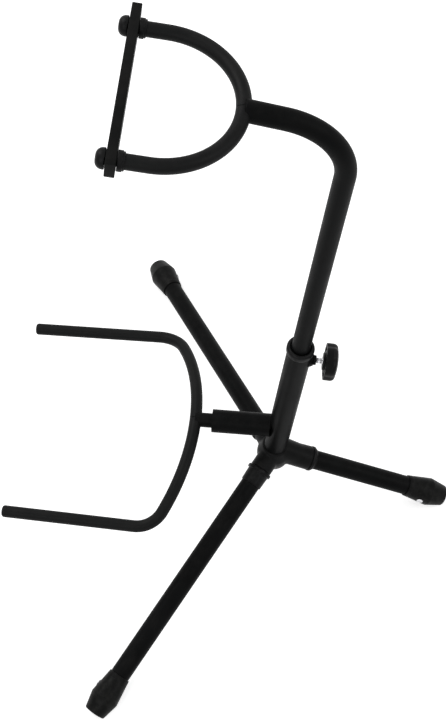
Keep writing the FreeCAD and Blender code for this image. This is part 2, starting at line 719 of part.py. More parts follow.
def make_leg(side, angle, floor):
    """One leg: the tube in the hub, the collar at its root, and the rubber foot riveted on its end."""
    frame = leg_frame(angle)
    arm = "rear_arm_reach" if side == "rear" else "front_arm_reach"
    sleeve = "rear_sleeve" if side == "rear" else "front_sleeve"
    bore = "leg_od / 2 + press_gap"
    root = frame * shift(z=value(f"{arm} + press_gap"))
    turned_part(f"leg_collar_{side}", root, [
        (bore, "0"), ("ring_od / 2", "0"), ("ring_od / 2", "ring_width"), ("sleeve_root_od / 2", "ring_width"),
        ("sleeve_end_od / 2", f"ring_width + {sleeve}"), (bore, f"ring_width + {sleeve}")])

    start = foot_start(side)
    end = f"{start} + foot_bore_depth - press_gap"
    rivet = rivet_frame() * shift(z=-SIZES["rivet_grip"])
    tube = turned_part(f"leg_tube_{side}", frame, tube_corners("leg_od", "leg_od - 2 * leg_wall", "leg_start", end))
    hole = shift(z=SIZES[start]) * rivet
    shank = "rivet_shank_od / 2 + press_gap"
    round_shape(tube, "Subtractive", "rivet_hole", shank, "2 * rivet_grip", hole)

    foot = new_body(f"rubber_foot_{side}", frame * shift(z=SIZES[start]))
    revolve(foot, "boot", [
        (bore, "0"), ("foot_lip_od / 2", "0"), ("foot_shoulder_od / 2", "foot_shoulder"),
        ("foot_end_od / 2", "foot_length - foot_dome"), ("foot_end_od / 4", "foot_length"),
        ("0", "foot_length"), ("0", "foot_bore_depth"), (bore, "foot_bore_depth")])
    round_shape(foot, "Subtractive", "rivet_hole", shank, "2 * rivet_grip", rivet)
    flat = foot.newObject("PartDesign::SubtractiveBox", "floor_flat")
    for length in ("Length", "Width", "Height"):
        flat.setExpression(length, bound("2 * foot_shoulder_od"))
    span = SIZES["foot_shoulder_od"]
    end_point = (floor * frame).multVec(UP * value(f"{start} + foot_length"))
    below = shift(end_point.x - span, end_point.y - span, -2 * span)
    flat.Placement = (floor * placed[foot.Label][1]).inverse() * below


def make_rivets():
    """The rivets that pin each foot to its leg: one node of separate solids."""
    head = SIZES["rivet_head_od"] / 2
    rise = SIZES["rivet_head_height"]
    gap = SIZES["press_gap"]
    grip = SIZES["rivet_grip"]
    rivets = []
    for side, angle in LEG_TURNS.items():
        crown = Part.makeCylinder(head, rise / 2, Vector(0, 0, gap))
        cone = Part.makeCone(head, head * 0.6, rise / 2, Vector(0, 0, gap + rise / 2))
        pin = Part.makeCylinder(SIZES["rivet_shank_od"] / 2, grip, Vector(0, 0, gap - grip))
        rivet = crown.fuse(cone).fuse(pin).removeSplitter()
        rivet.Placement = leg_frame(angle) * shift(z=SIZES[foot_start(side)]) * rivet_frame()
        rivets.append(rivet)
    new_feature("foot_rivets", Part.makeCompound(rivets))


# ---------------------------------------------------------------- standing on the floor

def lowest_point(start, angle, lean):
    """Return how far a foot's lowest point lies from the hub centre along the floor's normal."""
    drop = math.radians(SIZES["leg_drop"])
    tipped = math.radians(lean)
    forwards = math.cos(drop) * math.cos(math.radians(angle))
    fall = -math.sin(drop) * math.cos(tipped) + forwards * math.sin(tipped)
    side = math.sqrt(1 - fall * fall)
    shoulder = (start + SIZES["foot_shoulder"]) * fall - SIZES["foot_shoulder_od"] / 2 * side
    end = (start + value("foot_length - foot_dome")) * fall - SIZES["foot_end_od"] / 2 * side
    return min(shoulder, end)


def leaned_frame():
    """Return the stand's placement with its feet on the floor and pressed into it a little."""
    low, high = -20.0, 40.0
    for _ in range(60):
        lean = (low + high) / 2
        front = lowest_point(SIZES["front_foot_start"], SIZES["leg_spread"], lean)
        rear = lowest_point(SIZES["rear_foot_start"], REAR_LEG_TURN, lean)
        if rear > front:
            low = lean
        else:
            high = lean
    return shift(z=-front - SIZES["foot_squash"]) * turn(SIDE, -lean)


def stand_up(floor):
    """Place every sub-part on the floor, then centre the whole stand over its own box."""
    for part, local in placed.values():
        part.Placement = floor * local
    doc.recompute()
    box = FreeCAD.BoundBox()
    for part, _ in placed.values():
        box.add(part.Shape.optimalBoundingBox())
    centred = shift(x=-box.Center.x, y=-box.Center.y) * floor
    for part, local in placed.values():
        part.Placement = centred * local
    doc.recompute()
    return centred


def check_parts():
    """Stop if any feature failed or any sub-part has no valid solid."""
    failed = [f"{item.Label} {item.State}" for item in doc.Objects if {"Invalid", "Error"} & set(item.State)]
    for label, (part, _) in placed.items():
        if part.Shape.isNull() or not part.Shape.isValid() or not part.Shape.Solids:
            failed.append(f"{label} has no valid shape")
    if failed:
        raise RuntimeError("; ".join(failed))


def main():
    """Build every piece, stand the assembly on the floor and write one STEP file per sub-part."""
    write_sheet()
    floor = leaned_frame()
    make_hub()
    make_column()
    make_column_bush()
    make_hub_fixings()
    make_clamp()
    make_gooseneck()
    make_glide()
    make_yoke()
    make_strap()
    make_fork()
    for side, angle in LEG_TURNS.items():
        make_leg(side, angle, floor)
    make_rivets()
    doc.recompute()
    check_parts()
    stand = stand_up(floor)
    check_parts()
    os.makedirs("parts", exist_ok=True)
    for label, (part, _) in placed.items():
        part.Shape.exportStep(f"parts/{label}.step")
    print("stand placement", stand)


main()
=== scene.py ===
import json
import logging
import math
from dataclasses import dataclass, field
from enum import Enum
from typing import Callable, Iterable, Optional, Sequence

import bmesh
import bpy
from mathutils import Matrix, Vector

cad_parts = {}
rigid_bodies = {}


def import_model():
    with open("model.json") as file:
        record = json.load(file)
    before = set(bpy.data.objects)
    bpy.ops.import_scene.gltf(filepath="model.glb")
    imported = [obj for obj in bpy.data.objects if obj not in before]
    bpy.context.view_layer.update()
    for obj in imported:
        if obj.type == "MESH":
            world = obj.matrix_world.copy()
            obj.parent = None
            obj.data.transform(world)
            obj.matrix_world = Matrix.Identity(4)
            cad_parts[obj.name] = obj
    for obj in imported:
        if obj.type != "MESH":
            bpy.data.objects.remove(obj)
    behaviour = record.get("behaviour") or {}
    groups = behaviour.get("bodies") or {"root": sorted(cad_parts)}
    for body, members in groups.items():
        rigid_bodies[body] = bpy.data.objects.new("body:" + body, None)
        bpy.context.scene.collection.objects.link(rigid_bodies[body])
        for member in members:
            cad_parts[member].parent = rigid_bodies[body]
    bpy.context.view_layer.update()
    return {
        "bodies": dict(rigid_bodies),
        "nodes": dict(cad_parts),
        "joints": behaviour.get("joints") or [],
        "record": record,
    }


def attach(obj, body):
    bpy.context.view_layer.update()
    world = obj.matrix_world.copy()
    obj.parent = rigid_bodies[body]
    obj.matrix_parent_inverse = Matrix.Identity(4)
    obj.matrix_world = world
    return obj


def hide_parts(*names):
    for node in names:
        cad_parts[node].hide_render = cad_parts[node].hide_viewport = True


LOG = logging.getLogger("saxophone_stand")
MM = 0.001
TINY = 1e-6
UP = Vector((0.0, 0.0, 1.0))
SIDE = Vector((1.0, 0.0, 0.0))
FORWARD = Vector((0.0, -1.0, 0.0))
Corner = tuple[float, float, float]
LEG_TURNS = {"right": 61.0, "left": -61.0, "rear": 180.0}  # degrees from straight forwards
LEG_DROP = 18.0  # degrees
LEG_RADIUS = 10.85
COLUMN_RADIUS = 12.7
FIT = 0.05  # radial gap between pieces that are pressed together


class Side(Enum):
    """The two sides of the stand, seen from behind the column."""

    RIGHT = 1
    LEFT = -1

    @property
    def word(self) -> str:
        """Give the side's name as the nodes use it."""
        return self.name.lower()


class Body(Enum):
    """The rigid bodies of the frame that pieces ride on."""

    STAND = "stand"
    CLAMP = "clamp"
    GLIDE = "neck_glide"
    GOOSENECK = "gooseneck"
    STRAP = "strap"
    FORK = "fork"


# ---------------------------------------------------------------- finishes


def link(tree: bpy.types.NodeTree, source: bpy.types.NodeSocket, target: bpy.types.NodeSocket) -> None:
    """Join two sockets of a node tree."""
    tree.links.new(source, target)


def add_node(tree: bpy.types.NodeTree, kind: str, **inputs: object) -> bpy.types.Node:
    """Add a node to a tree and set its inputs.

    Args:
        tree: The shader or geometry tree.
        kind: The node's type name.
        inputs: Values by input name, with underscores for spaces, or sockets to link.

    Returns:
        The new node.
    """
    node = tree.nodes.new(kind)
    for name, value in inputs.items():
        socket = node.inputs[name.replace("_", " ")]
        if isinstance(value, bpy.types.NodeSocket):
            link(tree, value, socket)
        else:
            socket.default_value = value
    return node


def math_node(tree: bpy.types.NodeTree, operation: str, *values: object) -> bpy.types.NodeSocket:
    """Add a math node and return its result socket.

    Args:
        tree: The tree to add to.
        operation: The node's operation name.
        values: Numbers or sockets, in input order.

    Returns:
        The node's output socket.
    """
    node = tree.nodes.new("ShaderNodeMath")
    node.operation = operation
    for index, value in enumerate(values):
        if isinstance(value, bpy.types.NodeSocket):
            link(tree, value, node.inputs[index])
        else:
            node.inputs[index].default_value = value
    return node.outputs[0]


def remap(
    tree: bpy.types.NodeTree, value: bpy.types.NodeSocket, low: float, high: float, **ends: float
) -> bpy.types.NodeSocket:
    """Map a range of a value to 0 and 1, or to the ends To_Min and To_Max.

    Args:
        tree: The tree to add to.
        value: The socket that is mapped.
        low: The value that gives the lower end.
        high: The value that gives the upper end.
        ends: Other ends than 0 and 1.

    Returns:
        The mapped value.
    """
    return add_node(tree, "ShaderNodeMapRange", Value=value, From_Min=low, From_Max=high,
                    **ends).outputs["Result"]


def put(name: str, content: bpy.types.ID) -> bpy.types.Object:
    """Make an object for a mesh, lamp or camera and link it to the scene."""
    item = bpy.data.objects.new(name, content)
    bpy.context.scene.collection.objects.link(item)
    return item


def evaluated(item: bpy.types.Object) -> bpy.types.Mesh:
    """Give an object's mesh with its modifiers applied, as a mesh of its own."""
    bpy.context.view_layer.update()
    depsgraph = bpy.context.evaluated_depsgraph_get()
    return bpy.data.meshes.new_from_object(item.evaluated_get(depsgraph), depsgraph=depsgraph)


def object_noise(tree: bpy.types.NodeTree, scale: object, detail: float = 2.0,
                 **more: float) -> bpy.types.NodeSocket:
    """Add noise that is fixed to the object and return its value.

    Args:
        tree: The tree to add to.
        scale: The noise's scale, a number or a socket.
        detail: How many finer layers it has.
        more: Other inputs of the noise.

    Returns:
        The noise's value.
    """
    place = tree.nodes.new("ShaderNodeTexCoord").outputs["Object"]
    return add_node(tree, "ShaderNodeTexNoise", Vector=place, Scale=scale, Detail=detail,
                    **more).outputs["Fac"]


class SurfaceGroups:
    """The shader node groups that the finishes share, each built once."""

    def __init__(self) -> None:
        """Build the groups."""
        self.grain = self._grain()
        self.handling = self._handling()

    @staticmethod
    def _new(name: str, inputs: dict[str, float], outputs: Sequence[str]) -> bpy.types.NodeTree:
        """Start a group with float inputs and outputs and return it."""
        group = bpy.data.node_groups.new(name, "ShaderNodeTree")
        for word, default in inputs.items():
            socket = group.interface.new_socket(word, in_out="INPUT", socket_type="NodeSocketFloat")
            socket.default_value = default
        for word in outputs:
            group.interface.new_socket(word, in_out="OUTPUT", socket_type="NodeSocketFloat")
        return group

    def _grain(self) -> bpy.types.NodeTree:
        """Build the fine relief of a coat or moulding: pebbles, finer tooth and shallow waves."""
        group = self._new("surface_grain", {"Pebble Scale": 900.0, "Tooth": 0.3, "Wave": 0.4},
                          ["Height", "Mottle"])
        enter = group.nodes.new("NodeGroupInput")
        leave = group.nodes.new("NodeGroupOutput")
        pebble = object_noise(group, enter.outputs["Pebble Scale"], 2.0, Roughness=0.55)
        finer = math_node(group, "MULTIPLY", enter.outputs["Pebble Scale"], 3.7)
        tooth = object_noise(group, finer, 1.0)
        wave = object_noise(group, 38.0, 3.0)
        fine = math_node(group, "MULTIPLY", tooth, enter.outputs["Tooth"])
        slow = math_node(group, "MULTIPLY", wave, enter.outputs["Wave"])
        height = math_node(group, "ADD", math_node(group, "ADD", pebble, fine), slow)
        link(group, height, leave.inputs["Height"])
        link(group, wave, leave.inputs["Mottle"])
        return group

    def _handling(self) -> bpy.types.NodeTree:
        """Build the marks of use: rubbed edges, thin scratches along the piece, and settled dust."""
        inputs = {"Edge": 0.0, "Rub": 0.5, "Scratch": 0.3, "Dust": 0.3}
        group = self._new("handling_marks", inputs, ["Worn", "Scratched", "Dusty"])
        enter = group.nodes.new("NodeGroupInput")
        leave = group.nodes.new("NodeGroupOutput")
        place = group.nodes.new("ShaderNodeTexCoord")
        patch = object_noise(group, 160.0, 4.0)
        broken = math_node(group, "MULTIPLY", enter.outputs["Edge"], patch)
        edge = remap(group, broken, 0.42, 0.62)
        worn = math_node(group, "MULTIPLY", edge, enter.outputs["Rub"])
        stretch = add_node(group, "ShaderNodeMapping", Vector=place.outputs["Object"],
                           Scale=(900.0, 900.0, 22.0))
        streak = add_node(group, "ShaderNodeTexNoise", Vector=stretch.outputs["Vector"], Scale=1.0,
                          Detail=2.0)
        thin = remap(group, streak.outputs["Fac"], 0.70, 0.76)
        zone = object_noise(group, 14.0, 1.0)
        where = remap(group, zone, 0.5, 0.7)
        scratched = math_node(group, "MULTIPLY", thin, where)
        scratched = math_node(group, "MULTIPLY", scratched, enter.outputs["Scratch"])
        facing = group.nodes.new("ShaderNodeNewGeometry")
        split = add_node(group, "ShaderNodeSeparateXYZ", Vector=facing.outputs["Normal"])
        upward = remap(group, split.outputs["Z"], 0.35, 1.0)
        cloud = object_noise(group, 60.0, 6.0, Roughness=0.7)
        speck = remap(group, cloud, 0.42, 0.72)
        dusty = math_node(group, "MULTIPLY", upward, speck)
        dusty = math_node(group, "MULTIPLY", dusty, enter.outputs["Dust"])
        link(group, worn, leave.inputs["Worn"])
        link(group, scratched, leave.inputs["Scratched"])
        link(group, dusty, leave.inputs["Dusty"])
        return group


@dataclass(frozen=True)
class Finish:
    """One surface finish: its colours, gloss, relief and marks of use."""

    name: str
    slot: str
    colour: tuple[float, float, float]
    rubbed: tuple[float, float, float]
    roughness: float
    roughness_spread: float
    specular: float
    metallic: float = 0.0
    pebble_scale: float = 900.0
    tooth: float = 0.3
    wave: float = 0.4
    relief: float = 0.1
    relief_depth: float = 0.00004
    rub: float = 0.5
    scratch: float = 0.3
    dust: float = 0.3
    mottle: float = 0.25

    def material(self, groups: SurfaceGroups) -> bpy.types.Material:
        """Build the finish as a procedural material.

        Args:
            groups: The shared shader groups.

        Returns:
            The new material.
        """
        made = bpy.data.materials.new(self.name)
        made.use_nodes = True
        tree = made.node_tree
        tree.nodes.clear()
        shader = tree.nodes.new("ShaderNodeBsdfPrincipled")
        output = tree.nodes.new("ShaderNodeOutputMaterial")
        link(tree, shader.outputs["BSDF"], output.inputs["Surface"])
        shader.inputs["Specular IOR Level"].default_value = self.specular
        shader.inputs["Metallic"].default_value = self.metallic

        grain = tree.nodes.new("ShaderNodeGroup")
        grain.node_tree = groups.grain
        grain.inputs["Pebble Scale"].default_value = self.pebble_scale
        grain.inputs["Tooth"].default_value = self.tooth
        grain.inputs["Wave"].default_value = self.wave
        edge = tree.nodes.new("ShaderNodeAttribute")
        edge.attribute_name = "rounding"
        marks = tree.nodes.new("ShaderNodeGroup")
        marks.node_tree = groups.handling
        link(tree, edge.outputs["Fac"], marks.inputs["Edge"])
        marks.inputs["Rub"].default_value = self.rub
        marks.inputs["Scratch"].default_value = self.scratch
        marks.inputs["Dust"].default_value = self.dust

        shade = remap(tree, grain.outputs["Mottle"], 0.3, 0.7, To_Min=1.0 - self.mottle,
                      To_Max=1.0 + self.mottle)
        base = self._mix(tree, "MULTIPLY", 1.0, self.colour, None)
        link(tree, shade, base.inputs[7])
        rubbed = self._mix(tree, "MIX", marks.outputs["Worn"], None, self.rubbed)
        link(tree, base.outputs[2], rubbed.inputs[6])
        scratched = self._mix(tree, "MIX", marks.outputs["Scratched"], None, self.rubbed)
        link(tree, rubbed.outputs[2], scratched.inputs[6])
        dusty = self._mix(tree, "MIX", marks.outputs["Dusty"], None, (0.16, 0.15, 0.14))
        link(tree, scratched.outputs[2], dusty.inputs[6])
        link(tree, dusty.outputs[2], shader.inputs["Base Color"])

        gloss = remap(tree, grain.outputs["Mottle"], 0.25, 0.75,
                      To_Min=self.roughness - self.roughness_spread,
                      To_Max=self.roughness + self.roughness_spread)
        polished = math_node(tree, "MULTIPLY_ADD", marks.outputs["Worn"], -0.15, gloss)
        dulled = math_node(tree, "MULTIPLY_ADD", marks.outputs["Dusty"], 0.6, polished)
        link(tree, dulled, shader.inputs["Roughness"])

        bump = add_node(tree, "ShaderNodeBump", Strength=self.relief, Distance=self.relief_depth,
                        Height=grain.outputs["Height"])
        link(tree, bump.outputs["Normal"], shader.inputs["Normal"])
        return made

    @staticmethod
    def _mix(
        tree: bpy.types.NodeTree,
        blend: str,
        factor: object,
        first: Optional[tuple[float, float, float]],
        second: Optional[tuple[float, float, float]],
    ) -> bpy.types.Node:
        """Add a colour mix node.

        Args:
            tree: The material's tree.
            blend: The blend type.
            factor: A number or a socket.
            first: The first colour, or None where it is linked later.
            second: The second colour, or None where it is linked later.

        Returns:
            The mix node, with its colours at inputs 6 and 7 and its result at output 2.
        """
        node = tree.nodes.new("ShaderNodeMix")
        node.data_type = "RGBA"
        node.blend_type = blend
        if isinstance(factor, bpy.types.NodeSocket):
            link(tree, factor, node.inputs[0])
        else:
            node.inputs[0].default_value = factor
        for index, colour in ((6, first), (7, second)):
            if colour is not None:
                node.inputs[index].default_value = (*colour, 1.0)
        return node


class Look(Enum):
    """The finishes of the stand's pieces."""

    COAT = Finish("satin_black_coat", "black_tube", (0.0034, 0.0036, 0.0037), (0.018, 0.018, 0.019), 0.46,
                  0.06, 0.035,
                  pebble_scale=650.0, tooth=0.2, wave=0.6, relief=0.12, rub=0.5, scratch=0.35, dust=0.03)
    CASTING = Finish("coated_casting", "cast_metal", (0.0034, 0.0036, 0.0037), (0.020, 0.020, 0.021), 0.42,
                     0.08, 0.065,
                     pebble_scale=420.0, tooth=0.5, wave=0.8, relief=0.22, rub=0.5, scratch=0.1, dust=0.035)
    COVER = Finish("soft_cover", "soft_cover", (0.0050, 0.0053, 0.0054), (0.011, 0.011, 0.011), 0.50, 0.07,
                   0.085,
                   pebble_scale=1100.0, tooth=0.6, wave=0.3, relief=0.2, rub=0.35, scratch=0.15, dust=0.03)
    RUBBER = Finish("moulded_rubber", "black_rubber", (0.0030, 0.0032, 0.0031), (0.012, 0.012, 0.0115),
                    0.46, 0.04, 0.06,
                    pebble_scale=800.0, tooth=0.8, wave=0.4, relief=0.22, rub=0.6, scratch=0.2, dust=0.03,
                     mottle=0.12)
    PLASTIC = Finish("moulded_plastic", "moulded_plastic", (0.0038, 0.0040, 0.0042), (0.015, 0.015, 0.0155),
                     0.40, 0.06,
                     0.07, pebble_scale=1300.0, tooth=0.4, wave=0.3, relief=0.18, rub=0.5, scratch=0.2,
                     dust=0.03)
    ZINC = Finish("zinc_steel", "bare_steel", (0.62, 0.62, 0.64), (0.75, 0.75, 0.76), 0.30, 0.08, 0.5,
                  metallic=1.0,
                  pebble_scale=500.0, tooth=0.4, wave=0.3, relief=0.12, rub=0.5, scratch=0.5, dust=0.05,
                   mottle=0.1)


# ---------------------------------------------------------------- geometry trees


class Recipe:
    """A Geometry Nodes tree with named inputs that ends in Realize Instances and Set Material."""

    def __init__(self, name: str, inputs: Sequence[tuple[str, str]]) -> None:
        """Start the tree.

        Args:
            name: The tree's name.
            inputs: Pairs of input name and socket type, after the geometry.
        """
        self.tree = bpy.data.node_groups.new(name, "GeometryNodeTree")
        face = self.tree.interface
        face.new_socket("Geometry", in_out="INPUT", socket_type="NodeSocketGeometry")
        for word, kind in inputs:
            face.new_socket(word, in_out="INPUT", socket_type=kind)
        face.new_socket("Material", in_out="INPUT", socket_type="NodeSocketMaterial")
        face.new_socket("Geometry", in_out="OUTPUT", socket_type="NodeSocketGeometry")
        self.enter = self.tree.nodes.new("NodeGroupInput")
        self.leave = self.tree.nodes.new("NodeGroupOutput")

    def end_with(self, shape: bpy.types.NodeSocket) -> None:
        """Smooth the shape, make its instances real, set its material and put it out."""
        smooth = add_node(self.tree, "GeometryNodeSetShadeSmooth", Geometry=shape)
        real = add_node(self.tree, "GeometryNodeRealizeInstances", Geometry=smooth.outputs["Geometry"])
        dressed = add_node(self.tree, "GeometryNodeSetMaterial", Geometry=real.outputs["Geometry"])
        link(self.tree, self.enter.outputs["Material"], dressed.inputs["Material"])
        link(self.tree, dressed.outputs["Geometry"], self.leave.inputs["Geometry"])

    def run(self, source: bpy.types.Mesh, name: str, **values: object) -> bpy.types.Mesh:
        """Apply the tree to a mesh and return the result as a plain mesh.

        Args:
            source: The mesh that the tree starts from.
            name: The result's name.
            values: Input values by name, with underscores for spaces.

        Returns:
            The new mesh.
        """
        carrier = put(f"{name}_carrier", source)
        step = carrier.modifiers.new("recipe", "NODES")
        step.node_group = self.tree
        sockets = {item.name: item.identifier for item in self.tree.interface.items_tree
                   if item.in_out == "INPUT"}
        for word, value in values.items():
            step[sockets[word.replace("_", " ")]] = value
        made = evaluated(carrier)
        made.name = name
        carrier.modifiers.clear()
        bpy.data.objects.remove(carrier)
        return made


class Recipes:
    """The geometry trees of the stand, each built once."""

    def __init__(self) -> None:
        """Build the trees."""
        self.swept = self._swept()
        self.ring = self._ring()
        self.thread = self._thread()

    @staticmethod
    def _swept() -> Recipe:
        """Round bar along a path whose points carry their own girth, with optional ripples."""
        recipe = Recipe("round_bar_on_path", [
            ("Facets", "NodeSocketInt"), ("Ripple", "NodeSocketFloat"),
            ("Ripple Pitch", "NodeSocketFloat")])
        tree, enter = recipe.tree, recipe.enter
        path = add_node(tree, "GeometryNodeMeshToCurve", Mesh=enter.outputs["Geometry"])
        girth = tree.nodes.new("GeometryNodeInputNamedAttribute")
        girth.data_type = "FLOAT"
        girth.inputs["Name"].default_value = "girth"
        along = tree.nodes.new("GeometryNodeSplineParameter")
        turns = math_node(tree, "DIVIDE", along.outputs["Length"], enter.outputs["Ripple Pitch"])
        wave = math_node(tree, "SINE", math_node(tree, "MULTIPLY", turns, math.tau))
        swell = math_node(tree, "MULTIPLY_ADD", wave, enter.outputs["Ripple"], 1.0)
        radius = math_node(tree, "MULTIPLY", swell, girth.outputs["Attribute"])
        circle = add_node(tree, "GeometryNodeCurvePrimitiveCircle", Resolution=enter.outputs["Facets"],
                          Radius=1.0)
        solid = add_node(tree, "GeometryNodeCurveToMesh", Curve=path.outputs["Curve"],
                         Profile_Curve=circle.outputs["Curve"], Scale=radius)
        solid.inputs["Fill Caps"].default_value = True
        recipe.end_with(solid.outputs["Mesh"])
        return recipe

    @staticmethod
    def _ring() -> Recipe:
        """Copies of a small shape, evenly spaced round a circle and turned to face outwards."""
        recipe = Recipe("shapes_round_a_ring", [("Count", "NodeSocketInt"),
                                                ("Ring Radius", "NodeSocketFloat")])
        tree, enter = recipe.tree, recipe.enter
        circle = add_node(tree, "GeometryNodeMeshCircle", Vertices=enter.outputs["Count"],
                          Radius=enter.outputs["Ring Radius"])
        index = tree.nodes.new("GeometryNodeInputIndex")
        step = math_node(tree, "DIVIDE", math.tau, enter.outputs["Count"])
        angle = math_node(tree, "MULTIPLY", index.outputs["Index"], step)
        turn = add_node(tree, "ShaderNodeCombineXYZ", Z=angle)
        copies = add_node(tree, "GeometryNodeInstanceOnPoints", Points=circle.outputs["Mesh"],
                          Instance=enter.outputs["Geometry"], Rotation=turn.outputs["Vector"])
        recipe.end_with(copies.outputs["Instances"])
        return recipe

    @staticmethod
    def _thread() -> Recipe:
        """Rolled screw thread: a three-sided ridge on a helix."""
        recipe = Recipe("screw_thread", [
            ("Turns", "NodeSocketFloat"), ("Root Radius", "NodeSocketFloat"), ("Length", "NodeSocketFloat"),
            ("Ridge", "NodeSocketFloat")])
        tree, enter = recipe.tree, recipe.enter
        helix = add_node(tree, "GeometryNodeCurveSpiral", Resolution=32, Rotations=enter.outputs["Turns"],
                         Start_Radius=enter.outputs["Root Radius"], End_Radius=enter.outputs["Root Radius"],
                         Height=enter.outputs["Length"])
        ridge = add_node(tree, "GeometryNodeCurvePrimitiveCircle", Resolution=4,
                         Radius=enter.outputs["Ridge"])
        solid = add_node(tree, "GeometryNodeCurveToMesh", Curve=helix.outputs["Curve"],
                         Profile_Curve=ridge.outputs["Curve"])
        solid.inputs["Fill Caps"].default_value = True
        recipe.end_with(solid.outputs["Mesh"])
        return recipe


# ---------------------------------------------------------------- making pieces


def turn_about(axis: Vector, degrees: float) -> Matrix:
    """Give the matrix of a turn about an axis through the origin."""
    return Matrix.Rotation(math.radians(degrees), 4, axis)


def move(x: float = 0.0, y: float = 0.0, z: float = 0.0) -> Matrix:
    """Give the matrix of a move in millimetres."""
    return Matrix.Translation(Vector((x, y, z)) * MM)


@dataclass
class StandFrame:
    """The stand's own frame, read from the joints: Z up the column, -Y towards the instrument."""

    matrix: Matrix = field(default_factory=Matrix.Identity)
    swivel_height: float = 100.0

    @classmethod
    def read(cls, joints: Iterable[dict]) -> "StandFrame":
        """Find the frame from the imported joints.

        Args:
            joints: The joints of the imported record.

        Returns:
            The stand's frame in the row frame.
        """
        swivel = next(joint for joint in joints if joint["name"] == "neck_swivel")
        up = Vector(swivel["axis"]).normalized()
        back = up.cross(SIDE).normalized()
        hub = Vector(swivel["pos_m"]) - up * cls.swivel_height * MM
        matrix = Matrix((SIDE, back, up)).transposed().to_4x4()
        matrix.translation = hub
        return cls(matrix)

    def leg(self, angle: float) -> Matrix:
        """Give a leg's frame: Z outwards along the leg and Y up."""
        return self.matrix @ turn_about(UP, angle) @ turn_about(SIDE, 90.0 + LEG_DROP)

    def clamp(self, height: float = 204.5) -> Matrix:
        """Give the clamp's frame: Z backwards along the screw from the column's axis."""
        return self.matrix @ move(z=height) @ turn_about(SIDE, -90.0)

    def socket(self, height: float = 55.0, drop: float = 6.0) -> Matrix:
        """Give the fork socket's frame: Z forwards along it and Y up."""
        return self.matrix @ move(z=height) @ turn_about(SIDE, 90.0 + drop)


